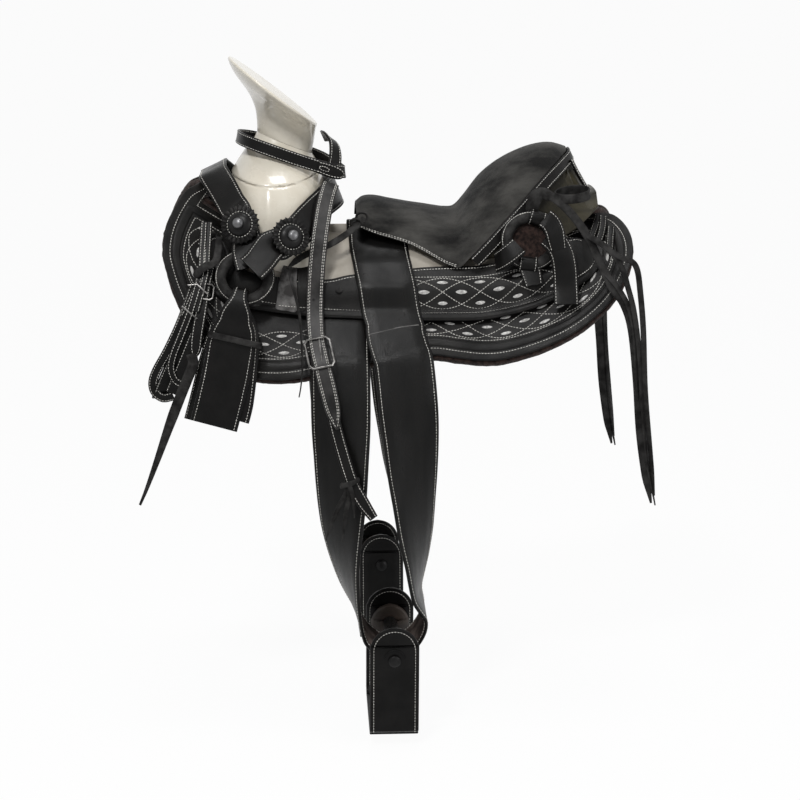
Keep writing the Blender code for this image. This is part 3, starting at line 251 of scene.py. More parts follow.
def hermite(t, start, end, m0, m1):
    """The smooth curve from start to end that leaves with slope m0 and arrives with m1."""
    near = (2 * t ** 3 - 3 * t ** 2 + 1) * start + (t ** 3 - 2 * t ** 2 + t) * m0
    return near + (3 * t ** 2 - 2 * t ** 3) * end + (t ** 3 - t ** 2) * m1


def unit_rows(rows):
    return rows / np.linalg.norm(rows, axis=1)[:, None]


def spline(rows, per, closed=False):
    """Rows of numbers, filled in with a smooth curve through each column."""
    rows = np.array(rows, float)
    count = len(rows)
    out = []
    for i in range(count if closed else count - 1):
        if closed:
            a, b, c, d = (rows[(i + k) % count] for k in (-1, 0, 1, 2))
        else:
            a, b, c, d = rows[max(i - 1, 0)], rows[i], rows[i + 1], rows[min(i + 2, count - 1)]
        out += [hermite(t, b, c, (c - a) / 2, (d - b) / 2) for t in np.arange(per) / per]
    if not closed:
        out.append(rows[-1])
    return np.array(out)


def lengths(spots):
    steps = np.linalg.norm(np.diff(spots, axis=0), axis=1)
    return np.concatenate([[0], np.cumsum(steps)])


def between(rows, index):
    """A row read at a fractional index."""
    i = int(min(index, len(rows) - 2))
    return rows[i] + (rows[i + 1] - rows[i]) * (index - i)


# Stitching: short raised dashes of thread, gathered into one piece for each body
STITCH = 0.0032
PITCH = 0.0043
THREAD_R = 0.00058
THREAD_SINK = 0.00015
THREAD_RISE = 1.5
DASH = ((0, 0.4), (0.25, 1), (0.75, 1), (1, 0.4))
sewn = {}


def sew(body, spots, outs, pitch=PITCH, stitch=STITCH):
    spots = np.array([tuple(p) for p in spots])
    outs = np.array([tuple(p) for p in outs])
    if len(spots) < 2:
        return
    verts, faces = sewn.setdefault(body, ([], []))
    far = lengths(spots)
    for mark in np.arange(pitch / 2, far[-1], pitch):
        ends = [np.interp(mark + k * stitch / 2, far, np.arange(len(spots))) for k in (-1, 1)]
        a, b = (between(spots, e) for e in ends)
        out = between(outs, sum(ends) / 2)
        out = out / np.linalg.norm(out)
        along = b - a
        wide = np.cross(along, out)
        wide = wide / max(np.linalg.norm(wide), 1e-9) * THREAD_R
        first = len(verts)
        for t, full in DASH:
            mid = a + along * t - out * THREAD_SINK
            verts.append(mid - wide * full)
            verts.append(mid + out * THREAD_R * full * THREAD_RISE)
            verts.append(mid + wide * full)
        for i in range(3):
            for k in range(2):
                p = first + i * 3 + k
                faces.append((p, p + 3, p + 4, p + 1))


def finish_sewing():
    for body, (verts, faces) in sewn.items():
        add("stitching_" + body, verts, faces, THREAD, body)


# Straps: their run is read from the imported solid, ring by ring
def rings_of(node):
    """The solid's rings of four corners from end to end, and whether they close on themselves."""
    bm = bmesh.new()
    bm.from_mesh(NODES[node].data)
    bmesh.ops.remove_doubles(bm, verts=bm.verts, dist=0.000002)
    bm.verts.index_update()
    near = [{e.other_vert(v).index for e in v.link_edges} for v in bm.verts]
    spots = [v.co.copy() for v in bm.verts]
    starts = [set(v.index for f in e.link_faces for v in f.verts) for e in bm.edges if len(e.link_faces) == 2]
    loops = []
    for a in range(len(near)):
        for b in near[a]:
            for c in near[a]:
                if a < b < c:
                    loops += [{a, b, c, d} for d in near[b] & near[c] if d != a and d not in near[a]]
    bm.free()
    for start in starts + loops:
        if len(start) == 4:
            found = walk_rings(start, near, len(spots))
            if found:
                return match_rings([[spots[i] for i in sorted(ring)] for ring in found[0]]), found[1]
    raise RuntimeError("no run found in " + node)


def walk_rings(start, near, count):
    """The rings reached from one of them, or None if they don't take in every corner."""
    rings = [start]
    seen = set(start)
    ahead = set().union(*(near[i] for i in start)) - seen
    closed = len(ahead) == 8
    if closed:
        first = {min(ahead)}
        grown = first
        while grown:
            grown = (set().union(*(near[i] for i in grown)) & ahead) - first
            first |= grown
        ahead = first
    while len(ahead) == 4:
        rings.append(ahead)
        seen |= ahead
        ahead = set().union(*(near[i] for i in ahead)) - seen
        if closed and len(ahead) > 4:
            return None
    if len(seen) == count and not ahead and len(rings) > 3:
        return rings, closed
    return None


def match_rings(rings):
    """The rings with their corners put in one order, each ring by the one before it."""
    ring = rings[0]
    mid = sum(ring, Vector()) / 4
    one = ring[0] - mid
    face = one.cross(ring[1] - mid)
    if face.length < 1e-9:
        face = one.cross(ring[2] - mid)
    face.normalize()
    other = face.cross(one)
    ring = sorted(ring, key=lambda p: math.atan2((p - mid).dot(other), (p - mid).dot(one)))
    done = [ring]
    for nxt in rings[1:]:
        mid = sum(nxt, Vector()) / 4
        old = sum(done[-1], Vector()) / 4
        options = []
        for turn in range(24):
            order = list(range(4))
            pick = [order.pop(turn // 6), order.pop(turn % 6 // 2), order.pop(turn % 2), order.pop()]
            cost = sum(((nxt[k] - mid) - (done[-1][i] - old)).length_squared for i, k in enumerate(pick))
            options.append((cost, pick))
        done.append([nxt[k] for k in min(options)[1]])
    return done


def strap_run(node, per=4):
    """Rows of centre, half-width vector and half-thickness vector along a strap."""
    rings, closed = rings_of(node)
    one = sum((r[1] - r[0]).length + (r[2] - r[3]).length for r in rings)
    two = sum((r[2] - r[1]).length + (r[3] - r[0]).length for r in rings)
    rows = []
    for r in rings:
        mid = sum(r, Vector()) / 4
        a = (r[1] + r[2] - r[0] - r[3]) / 4
        b = (r[2] + r[3] - r[0] - r[1]) / 4
        if one < two:
            a, b = b, a
        rows.append([*mid, *a, *b])
    rows = spline(rows, per, closed)
    outward = sum((r[6:9] @ np.array([0, r[1], 0.3])) for r in rows)
    if outward < 0:
        rows[:, 6:9] *= -1
    return rows, closed


SHOULDER = 0.62
SECTION = ((-1, 1), (-0.5, 1), (0, 1), (0.5, 1), (1, 1), (1, SHOULDER), (1, 0), (1, -SHOULDER),
           (1, -1), (0.5, -1), (0, -1), (-0.5, -1), (-1, -1), (-1, -SHOULDER), (-1, 0), (-1, SHOULDER))


def strap_mesh(name, rows, closed, mat, body, nodes=(), back=None, bare=None, edge=0.0011, crown=0.0):
    """rows hold a centre, a half-width vector and a half-thickness vector; edges are rounded.

    bare says where the back's material shows, from a row and whether the face is the top or the underside.
    """
    rings = []
    for row in rows:
        mid, half, deep = row[0:3], row[3:6], row[6:9]
        soft = min(edge / np.linalg.norm(half), 0.5)
        ring = []
        for a, h in SECTION:
            full = 1 - soft if abs(h) == 1 else 1 - soft * 0.25 * abs(h) / SHOULDER
            rise = crown * (1 - a * a) if h == 1 else 0
            ring.append(mid + half * a * (full if abs(a) == 1 else 1) + deep * (h + rise))
        rings.append(ring)
    verts, faces = skin_rings(rings, closed)
    kinds = [0] * len(faces)
    if bare:
        for i, row in enumerate(rows[:-1]):
            for k in range(16):
                kinds[i * 16 + k] = int(bool(bare(row, k < 4, 8 <= k < 12)))
    obj = add(name, verts, faces, (mat, back or mat), body, nodes, kinds)
    return tidy_faces(obj, 60)


def strap_seams(rows, closed, body, insets, both):
    """Rows of stitches along both edges, on the top or on both faces."""
    for inset in insets:
        for sign in (-1, 1):
            for top in (1, -1) if both else (1,):
                spots, outs = [], []
                for row in rows:
                    wide = np.linalg.norm(row[3:6])
                    if wide > inset * 1.3:
                        spots.append(row[0:3] + row[3:6] * sign * (1 - inset / wide) + row[6:9] * top)
                        outs.append(row[6:9] * top)
                if closed and spots:
                    spots.append(spots[0])
                    outs.append(outs[0])
                sew(body, spots, outs)


def strap(node, mat=BLACK, insets=(0.0030,), crown=0.0, both=True, wide=()):
    """The look of a strap of the solids; wide holds heights and the least width there."""
    rows, closed = strap_run(node)
    if wide:
        for row in rows:
            least = np.interp(row[2], [z for z, w in wide], [w for z, w in wide])
            row[3:6] *= max(1.0, least / 2 / np.linalg.norm(row[3:6]))
    strap_mesh("look_" + node, rows, closed, mat, body_of(node), (node,), crown=crown)
    strap_seams(rows, closed, body_of(node), insets, both)


def ribbon_rows(stations, thick, per=5, closed=False):
    """Stations are a centre, the way the face looks, and a width."""
    table = spline([[*spot, *face, wide] for spot, face, wide in stations], per, closed)
    spots = table[:, 0:3]
    if closed:
        runs = np.roll(spots, -1, axis=0) - np.roll(spots, 1, axis=0)
    else:
        runs = np.gradient(spots, axis=0)
    rows = []
    for spot, run, face, wide in zip(spots, runs, table[:, 3:6], table[:, 6]):
        run = run / np.linalg.norm(run)
        across = np.cross(run, face)
        across = across / np.linalg.norm(across)
        rows.append(np.concatenate([spot, across * wide / 2, np.cross(across, run) * thick / 2]))
    return np.array(rows)


def ribbon(name, stations, thick, mat, body="saddle", insets=(), per=5, closed=False, nodes=(), edge=0.0009,
           crown=0.0):
    rows = ribbon_rows(stations, thick, per, closed)
    obj = strap_mesh(name, rows, closed, mat, body, nodes, edge=edge, crown=crown)
    strap_seams(rows, closed, body, insets, False)
    return obj, rows


def flip(side, spot):
    return (spot[0], -side * spot[1], spot[2])


LACE_T = 0.0018


def thong(name, side, route, wide, face=(0.1, -0.95, 0.3), twist=0.0, tip=0.035, body="saddle", nodes=()):
    """A flat lace along a route given for the near side."""
    spots = spline(route, 6)
    far = lengths(spots)
    stations = []
    for k, (spot, t) in enumerate(zip(spots, far)):
        left = (far[-1] - t) / tip
        run = Vector(spots[min(k + 1, len(spots) - 1)] - spots[max(k - 1, 0)]).normalized()
        look = Vector(face)
        look = (look - run * look.dot(run)).normalized()
        angle = math.radians(twist) * t / far[-1]
        look = look * math.cos(angle) + run.cross(look) * math.sin(angle)
        full = wide if left > 1 else wide * (0.25 + 0.75 * left)
        stations.append((flip(side, spot), flip(side, look), full))
    obj, rows = ribbon(name, stations, LACE_T, LACE, body, per=1, nodes=nodes, edge=0.0005)


# Shapes of the sides, as the solids have them
PITCH_TOP = math.radians(40)
PITCH_LOW = math.radians(65)
FLAT_END = 0.100
BEND_END = 0.260
FRONT_TWIST = math.radians(20)
FRONT_START = -0.110
REAR_START = 0.100
END_REACH = 0.180
FRONT_RISE = 0.035
REAR_RISE = 0.050
GAP = 0.0004
LINING_T = 0.0139
BASTO_LOW = 0.0143
BASTO_T = 0.0040
BAR_LOW = 0.0203
BAR_HIGH = 0.0423
BAR_FRONT = -0.232
BAR_REAR = 0.238
BAR_INNER = 0.030
BAR_OUTER = 0.132
UPPER_OVER_BAR = 0.0427
UPPER_AT_HEM = 0.0250
UPPER_OVER_BASTO = 0.0187
UPPER_T = 0.0040
HEM_SLOPE = 0.036
END_SLOPE = 0.032
SEAT_T = 0.0080


def flank(s, n):
    """y and z on the right side, s down along the bearing face and n out from it."""
    pitch = PITCH_TOP
    y = s * math.cos(PITCH_TOP)
    z = -s * math.sin(PITCH_TOP)
    if s > FLAT_END:
        radius = (BEND_END - FLAT_END) / (PITCH_LOW - PITCH_TOP)
        pitch = PITCH_TOP + (min(s, BEND_END) - FLAT_END) / radius
        y = FLAT_END * math.cos(PITCH_TOP) + radius * (math.sin(pitch) - math.sin(PITCH_TOP))
        z = -FLAT_END * math.sin(PITCH_TOP) + radius * (math.cos(pitch) - math.cos(PITCH_TOP))
    if s > BEND_END:
        y += (s - BEND_END) * math.cos(PITCH_LOW)
        z -= (s - BEND_END) * math.sin(PITCH_LOW)
    return y + n * math.sin(pitch), z + n * math.cos(pitch)


PIVOT = flank(0.150, 0.0)


def skin(side, x, s, n):
    """The flank, twisted and raised toward the front and raised toward the rear."""
    y, z = flank(s, n)
    turn = 0.0
    lift = 0.0
    if x < FRONT_START:
        reach = (FRONT_START - x) / END_REACH
        turn = FRONT_TWIST * reach ** 1.3
        lift = FRONT_RISE * reach ** 1.5
    if x > REAR_START:
        lift = REAR_RISE * ((x - REAR_START) / END_REACH) ** 1.5
    dy = y - PIVOT[0]
    dz = z - PIVOT[1]
    out = PIVOT[0] + dy * math.cos(turn) + dz * math.sin(turn)
    up = PIVOT[1] - dy * math.sin(turn) + dz * math.cos(turn) + lift
    return Vector((x, side * out, up))


def outward(side, x, s):
    return (skin(side, x, s, 0.05) - skin(side, x, s, 0.0)).normalized()


def ease(t):
    t = max(0.0, min(1.0, t))
    return t * t * (3 - 2 * t)


def upper_low(x, s):
    over = UPPER_OVER_BAR + (UPPER_AT_HEM - UPPER_OVER_BAR) * ease((s - BAR_OUTER) / HEM_SLOPE)
    front = ease((x - BAR_FRONT + HEM_SLOPE) / END_SLOPE)
    on_bar = front * ease((BAR_REAR + HEM_SLOPE - x) / END_SLOPE)
    return UPPER_OVER_BASTO + (over - UPPER_OVER_BASTO) * on_bar


def upper_high(x, s):
    return upper_low(x, s) + UPPER_T


def basto_high(x, s):
    return BASTO_LOW + BASTO_T


BASTO_OUTLINE = [
    (-0.259, 0.030), (-0.259, -0.016), (-0.260, -0.036), (-0.266, -0.038), (-0.274, -0.029),
    (-0.2861, -0.0165), (-0.3010, -0.002), (-0.3141, 0.013), (-0.3260, 0.036), (-0.3350, 0.0585),
    (-0.3415, 0.080), (-0.3448, 0.1000), (-0.3448, 0.119), (-0.3393, 0.140), (-0.3324, 0.159),
    (-0.3230, 0.179), (-0.3090, 0.205), (-0.2920, 0.226), (-0.2723, 0.242), (-0.2500, 0.254),
    (-0.2255, 0.2615), (-0.1950, 0.262), (-0.1600, 0.258), (-0.1200, 0.249), (-0.0400, 0.232),
    (0.0336, 0.2245), (0.0700, 0.2285), (0.0991, 0.2325), (0.1300, 0.236), (0.1589, 0.2365),
    (0.2000, 0.2345), (0.2376, 0.229), (0.2680, 0.219), (0.2930, 0.205), (0.3110, 0.187),
    (0.3235, 0.1655), (0.3300, 0.146), (0.3314, 0.126), (0.3285, 0.105), (0.3200, 0.080),
    (0.3080, 0.060), (0.2912, 0.048), (0.2700, 0.039), (0.2400, 0.0325), (0.2000, 0.030)]
UPPER_OUTLINE = [
    (-0.266, 0.062), (-0.277, 0.063), (-0.286, 0.072), (-0.291, 0.088), (-0.292, 0.110),
    (-0.289, 0.132), (-0.280, 0.150), (-0.262, 0.162), (-0.235, 0.168), (-0.200, 0.169),
    (-0.150, 0.170), (-0.085, 0.173), (0.000, 0.177), (0.060, 0.178), (0.110, 0.178),
    (0.180, 0.177), (0.230, 0.171), (0.262, 0.161), (0.282, 0.145), (0.289, 0.125),
    (0.286, 0.106), (0.274, 0.094), (0.250, 0.096), (0.200, 0.099), (0.150, 0.101),
    (0.090, 0.1025), (0.030, 0.1040), (-0.040, 0.1120), (-0.080, 0.1160), (-0.110, 0.1230),
    (-0.160, 0.1250), (-0.220, 0.1240), (-0.244, 0.1120), (-0.254, 0.085)]
BAR_OUTLINE = [
    (BAR_FRONT + 0.014, BAR_INNER), (BAR_FRONT + 0.004, BAR_INNER + 0.006),
    (BAR_FRONT, BAR_INNER + 0.020), (BAR_FRONT, BAR_OUTER - 0.030),
    (BAR_FRONT + 0.010, BAR_OUTER - 0.010), (BAR_FRONT + 0.032, BAR_OUTER),
    (-0.150, BAR_OUTER), (-0.130, BAR_OUTER - 0.004), (-0.100, BAR_OUTER - 0.008),
    (0.060, BAR_OUTER - 0.008), (0.110, BAR_OUTER - 0.002), (0.140, BAR_OUTER),
    (BAR_REAR - 0.032, BAR_OUTER), (BAR_REAR - 0.010, BAR_OUTER - 0.010),
    (BAR_REAR, BAR_OUTER - 0.030), (BAR_REAR, BAR_INNER + 0.020),
    (BAR_REAR - 0.004, BAR_INNER + 0.006), (BAR_REAR - 0.014, BAR_INNER)]


def contour(outline, per=4):
    loop = spline(outline, per, True)
    turned = np.roll(loop, -1, axis=0)
    if np.sum(loop[:, 0] * turned[:, 1] - turned[:, 0] * loop[:, 1]) < 0:
        loop = loop[::-1]
    return loop


def inner(loop, far):
    """A closed outline moved inward by far, with its bunched-up points left out."""
    run = unit_rows(np.roll(loop, -1, axis=0) - np.roll(loop, 1, axis=0))
    moved = loop + np.stack([-run[:, 1], run[:, 0]], axis=1) * far
    keep = [i for i in range(len(loop)) if clearance(loop, moved[i]) > far * 0.97 - 0.0001]
    return moved[keep]


def clearance(loop, spot):
    """How far a point is from a closed outline."""
    a = loop
    b = np.roll(loop, -1, axis=0)
    along = b - a
    t = np.clip(np.sum((spot - a) * along, axis=1) / np.maximum(np.sum(along * along, axis=1), 1e-12), 0, 1)
    return np.min(np.linalg.norm(a + along * t[:, None] - spot, axis=1))


def inside(loop, spot):
    hits = 0
    for a, b in zip(loop, np.roll(loop, -1, axis=0)):
        if (a[1] > spot[1]) != (b[1] > spot[1]):
            if spot[0] < a[0] + (spot[1] - a[1]) / (b[1] - a[1]) * (b[0] - a[0]):
                hits += 1
    return hits % 2 == 1


PANEL_STEP = 0.010
FUZZ_SCALE = 260


def panel(name, side, outline, low, high, mat, node=None, rim=0.0018, back=None, fuzz=0.0):
    """A sheet bent to the saddle's side, with a rounded edge; fuzz makes the edge ragged."""
    core = inner(contour(outline), rim)
    bm = bmesh.new()
    bm.faces.new([bm.verts.new((x, s, 0)) for x, s in core])
    for axis in (0, 1):
        start = PANEL_STEP * math.floor(core[:, axis].min() / PANEL_STEP)
        for cut in np.arange(start, core[:, axis].max(), PANEL_STEP):
            spot = [0, 0, 0]
            spot[axis] = cut
            normal = [0, 0, 0]
            normal[axis] = 1
            geom = list(bm.verts) + list(bm.edges) + list(bm.faces)
            bmesh.ops.bisect_plane(bm, geom=geom, dist=0.0002, plane_co=spot, plane_no=normal)
    bm.verts.index_update()
    flat = [(v.co.x, v.co.y) for v in bm.verts]
    faces = [tuple(v.index for v in f.verts) for f in bm.faces]
    follow = {}
    for edge in bm.edges:
        if edge.is_boundary:
            corner = edge.link_loops[0]
            follow[corner.vert.index] = corner.link_loop_next.vert.index
    bm.free()
    loop = [min(follow)]
    while follow[loop[-1]] != loop[0]:
        loop.append(follow[loop[-1]])
    count = len(flat)

    def reach(limit, x, s):
        return limit(x, s) if callable(limit) else limit

    verts = [skin(side, x, s, reach(high, x, s)) for x, s in flat]
    verts += [skin(side, x, s, reach(low, x, s)) for x, s in flat]
    faces += [tuple(i + count for i in f[::-1]) for f in faces]
    kinds = [0] * (len(faces) // 2) + [1] * (len(faces) // 2)
    edge_rows = []
    for i, k in enumerate(loop):
        a = flat[loop[i - 1]]
        b = flat[loop[(i + 1) % len(loop)]]
        run = Vector((b[0] - a[0], b[1] - a[1])).normalized()
        out = Vector((run.y, -run.x))
        x, s = flat[k]
        top, bottom = reach(high, x, s), reach(low, x, s)
        row = [k]
        for angle in (60, 25, -25, -60):
            c, d = math.cos(math.radians(angle)), math.sin(math.radians(angle))
            ragged = 1 + fuzz * noise.noise(Vector((x * FUZZ_SCALE, s * FUZZ_SCALE, angle)))
            verts.append(skin(side, x + out.x * rim * c * ragged, s + out.y * rim * c * ragged,
                              (top + bottom) / 2 + (top - bottom) / 2 * d))
            row.append(len(verts) - 1)
        row.append(k + count)
        edge_rows.append(row)
    for i, row in enumerate(edge_rows):
        after = edge_rows[(i + 1) % len(edge_rows)]
        for k in range(5):
            faces.append((row[k], row[k + 1], after[k + 1], after[k]))
            kinds.append(1 if k > 2 else 0)
    obj = add(name, verts, faces, (mat, back or mat), "saddle", (node,) if node else (), kinds)
    return tidy_faces(obj, 70)


def sew_side(side, line, height):
    spots = [skin(side, x, s, height(x, s)) for x, s in line]
    sew("saddle", spots, [outward(side, x, s) for x, s in line])


BEAD_SINK = 0.0006


def bead(name, side, line, height, width, rise):
    """A rounded band laid along a line on the side."""
    rings = []
    for (x, s), (dx, ds) in zip(line, unit_rows(np.gradient(line, axis=0))):
        ring = []
        for k in range(9):
            angle = math.pi * k / 8
            a = math.cos(angle) * width / 2
            h = math.sin(angle) ** 0.7 * rise - BEAD_SINK
            ring.append(skin(side, x - ds * a, s + dx * a, height(x, s) + h))
        rings.append(ring)
    verts, faces = skin_rings(rings)
    tidy_faces(add(name, verts, faces, SKIRTING, "saddle"), 70)


def cut_line(loop, test):
    """The longest run of a closed outline's points that pass the test."""
    passed = [test(x, s) for x, s in loop]
    best = []
    for start in range(len(loop)):
        if passed[start] and not passed[start - 1]:
            part = []
            k = start
            while passed[k % len(loop)] and len(part) < len(loop):
                part.append(loop[k % len(loop)])
                k += 1
            if len(part) > len(best):
                best = part
    return np.array(best if len(best) else loop)


# Diamonds of stitching with pale lens-shaped inlays
DIAMOND = 0.054
LENS_LONG = 0.0165
LENS_WIDE = 0.0048
LENS_SIDES = 14
LATTICE_STEP = 0.004


def add_lens(store, side, x, s, angle, height):
    verts, faces = store
    first = len(verts)
    for scale, lift in ((1.0, -0.0002), (0.72, 0.0006), (0.3, 0.0010)):
        for a in turns(LENS_SIDES):
            along = LENS_LONG / 2 * math.cos(a) * scale
            across = LENS_WIDE / 2 * math.sin(a) * abs(math.sin(a)) ** 0.35 * scale
            px = x + along * math.cos(angle) - across * math.sin(angle)
            ps = s + along * math.sin(angle) + across * math.cos(angle)
            verts.append(skin(side, px, ps, height(px, ps) + lift))
    for low in (first, first + LENS_SIDES):
        for k in range(LENS_SIDES):
            j = (k + 1) % LENS_SIDES
            faces.append((low + k, low + j, low + LENS_SIDES + j, low + LENS_SIDES + k))
    faces.append(tuple(range(first + 2 * LENS_SIDES, first + 3 * LENS_SIDES)))


def lattice(store, side, line, half, height, keep):
    """Four crossing waves of stitches along a line, with a lens in the middle of each diamond."""
    line = np.array(line)
    run = unit_rows(np.gradient(line, axis=0))
    far = lengths(line)
    across = np.stack([-run[:, 1], run[:, 0]], axis=1)

    def index_at(t):
        return np.interp(t, far, np.arange(len(line)))

    def beside(t, h):
        return between(line, index_at(t)) + between(across, index_at(t)) * h

    for phase in range(4):
        part = []
        for t in np.arange(0, far[-1], LATTICE_STEP):
            spot = beside(t, half * math.sin(math.pi * t / (2 * DIAMOND) + phase * math.pi / 2))
            if keep(*spot):
                part.append(spot)
            elif part:
                sew_side(side, part, height)
                part = []
        if part:
            sew_side(side, part, height)
    for k in range(int(far[-1] / DIAMOND) * 2 + 2):
        t = k * DIAMOND / 2
        for h in (0,) if k % 2 else (-half * 0.66, half * 0.66):
            if t < far[-1]:
                x, s = beside(t, h)
                if keep(x, s):
                    dx, ds = between(run, index_at(t))
                    add_lens(store, side, x, s, math.atan2(ds, dx), height)


# Skirts, pads and bars
FORK_LOBE = (-0.28, 0.07)
LOBE_REAR = -0.255
LOBE_LOW = 0.02
LINING_LONGER = 1.006
LINING_LOWER = 0.0045
# How far in from the pad's edge its rows of stitches, band, ridge and diamonds run
PAD_ROWS = (0.0100, 0.0290)
PAD_BAND = 0.0185
PAD_RIDGE = 0.0262
PAD_DIAMONDS = 0.0490
# The same for the upper skirt, whose hidden edge is where the pad's diamonds stop
UPPER_ROW = 0.0110
UPPER_TOP_ROW = 0.0050
UPPER_BAND = 0.0055
UPPER_EDGE = 0.004
UPPER_LIMIT = 0.010


def add_skirts(word, side):
    lining = [(x * LINING_LONGER, s + (LINING_LOWER if s > 0.15 else 0.0)) for x, s in BASTO_OUTLINE]
    felt = panel("felt_lining_" + word, side, lining, 0.0, LINING_T, FELT, "lining_" + word, rim=0.0040,
                 fuzz=0.25)
    felt.data.materials.append(SKIRTING)
    face_way = outward(side, *FORK_LOBE)
    for face in felt.data.polygons:
        if face.center.x < LOBE_REAR and face.center.z > LOBE_LOW and face.normal @ face_way > 0.3:
            face.material_index = 2
    panel("pad_leather_" + word, side, BASTO_OUTLINE, BASTO_LOW, BASTO_LOW + BASTO_T, SKIRTING,
          "basto_" + word, back=FLESH)
    panel("upper_skirt_look_" + word, side, UPPER_OUTLINE, upper_low, upper_high, SKIRTING,
          "upper_skirt_" + word, back=FLESH)
    # The bars take the cream darkened as painted shade
    panel("tree_bar_" + word, side, BAR_OUTLINE, BAR_LOW, BAR_HIGH, DULL_SHADED_CREAM, "bar_" + word, rim=0.0040)


def decorate(word, side):
    pad = contour(BASTO_OUTLINE)
    upper = contour(UPPER_OUTLINE)
    hidden = inner(upper, UPPER_EDGE)
    within = inner(upper, UPPER_LIMIT)

    def pad_line(far):
        return cut_line(inner(pad, far), lambda x, s: s > 0.030 or x < -0.262)

    def along(start, end, s, drop):
        return [(x, s + drop * ease((0.02 - x) / 0.08)) for x in np.arange(start, end, 0.006)]

    for far in PAD_ROWS:
        sew_side(side, pad_line(far), basto_high)
    bead("pad_band_" + word, side, pad_line(PAD_BAND), basto_high, 0.0120, 0.0022)
    bead("pad_ridge_" + word, side, pad_line(PAD_RIDGE), basto_high, 0.0022, 0.0012)
    line = cut_line(inner(upper, UPPER_ROW), lambda x, s: s > 0.130 or x < -0.262 or x > 0.262)
    sew_side(side, line, upper_high)
    line = cut_line(inner(upper, UPPER_BAND), lambda x, s: s > 0.150 or x < -0.255)
    bead("upper_band_" + word, side, line, upper_high, 0.0080, 0.0020)
    line = cut_line(inner(upper, UPPER_TOP_ROW), lambda x, s: s < 0.130 and -0.240 < x < 0.262)
    sew_side(side, line, upper_high)
    for s in (0.1215, 0.1640, 0.1672):
        sew_side(side, along(0.010, 0.235, s, 0.004), upper_high)
    store = ([], [])
    middle = along(0.000, 0.236, 0.1428, 0.002)
    lattice(store, side, middle, 0.0190, upper_high, lambda x, s: inside(within, (x, s)))
    lattice(store, side, pad_line(PAD_DIAMONDS), 0.0180, basto_high, lambda x, s: not inside(hidden, (x, s)))
    add("inlays_" + word, *store, RAWHIDE, "saddle")


for word, side in SIDES:
    add_skirts(word, side)
    decorate(word, side)


# Horn, fork, seat and cantle
def lookup(rows, key):
    """A row of numbers read from a table of rows, as a smooth curve through them."""
    rows = np.array(rows, float)
    key = min(max(key, rows[0][0]), rows[-1][0])
    i = int(min(max(np.searchsorted(rows[:, 0], key) - 1, 0), len(rows) - 2))
    before, here, after, later = rows[max(i - 1, 0)], rows[i], rows[i + 1], rows[min(i + 2, len(rows) - 1)]
    step = after[0] - here[0]
    m0 = (after - before) / max(after[0] - before[0], 1e-9) * step
    m1 = (later - here) / max(later[0] - here[0], 1e-9) * step
    return hermite((key - here[0]) / step, here, after, m0, m1)[1:]


def oval(row, count):
    left = Vector((row[0], 0, row[1]))
    right = Vector((row[2], 0, row[3]))
    power = row[5] if len(row) > 5 else 2.0
    ring = []
    for angle in turns(count):
        c, d = math.cos(angle), math.sin(angle)
        c = math.copysign(abs(c) ** (2 / power), c)
        d = math.copysign(abs(d) ** (2 / power), d)
        ring.append((left + right) / 2 + (right - left) / 2 * c + Vector((0, row[4] * d, 0)))
    return ring


# Each row: front end x and z, rear end x and z, half width
HORN_ROWS = [
    (-0.2102, 0.1560, -0.1300, 0.1235, 0.0340), (-0.2105, 0.1720, -0.1290, 0.1315, 0.0345),
    (-0.2130, 0.1900, -0.1275, 0.1395, 0.0380), (-0.2200, 0.2077, -0.1262, 0.1475, 0.0470),
    (-0.2300, 0.2230, -0.1252, 0.1540, 0.0590), (-0.2400, 0.2368, -0.1245, 0.1585, 0.0720),
    (-0.2475, 0.2500, -0.1236, 0.1615, 0.0820), (-0.2510, 0.2592, -0.1226, 0.1636, 0.0875),
    (-0.2508, 0.2630, -0.1226, 0.1664, 0.0880), (-0.2480, 0.2634, -0.1250, 0.1692, 0.0850),
    (-0.2361, 0.2554, -0.1347, 0.1785, 0.0680), (-0.2163, 0.2419, -0.1529, 0.1938, 0.0420)]
# The same, with the fullness of the oval
FORK_ROWS = [
    (-0.2100, 0.1556, -0.1302, 0.1231, 0.0338, 2.0), (-0.2165, 0.1440, -0.1260, 0.1160, 0.0410, 2.0),
    (-0.2280, 0.1300, -0.1210, 0.1060, 0.0560, 2.1), (-0.2400, 0.1120, -0.1160, 0.0920, 0.0760, 2.2),
    (-0.2480, 0.0940, -0.1115, 0.0770, 0.0920, 2.4), (-0.2520, 0.0720, -0.1080, 0.0580, 0.1040, 2.6),
    (-0.2540, 0.0450, -0.1050, 0.0340, 0.1130, 2.8), (-0.2545, 0.0150, -0.1040, 0.0080, 0.1190, 3.0),
    (-0.2545, -0.0150, -0.1035, -0.0200, 0.1220, 3.0), (-0.2545, -0.0450, -0.1035, -0.0480, 0.1230, 3.0)]


def add_horn():
    rings = [oval(row, 96) for row in spline(HORN_ROWS, 6)]
    mid = sum(rings[-1], Vector()) / len(rings[-1])
    for scale in (0.7, 0.35, 0.05):
        rings.append([mid + (p - mid) * scale for p in rings[-1]])
    verts, faces = skin_rings(rings)
    tidy_faces(add("horn_look", verts, faces, CREAM, "saddle", ("horn",)), 50)


def groove_depth(x, z):
    """A carved line sweeps round the fork under the neck, and a soft keel runs down from it."""
    low = 0.0825 + 3.6 * (x + 0.1885) ** 2
    off = (z - low) / 0.0016
    deep = 0.0020 * math.exp(-off * off)
    if z > low:
        deep -= 0.0022 * math.exp(-(z - low) / 0.012)
    else:
        deep -= 0.0020 * math.exp(-(((x + 0.193) / 0.006) ** 2)) * ease((z - 0.010) / 0.040)
    return deep


FORK_CUT = (-0.290, -0.080)


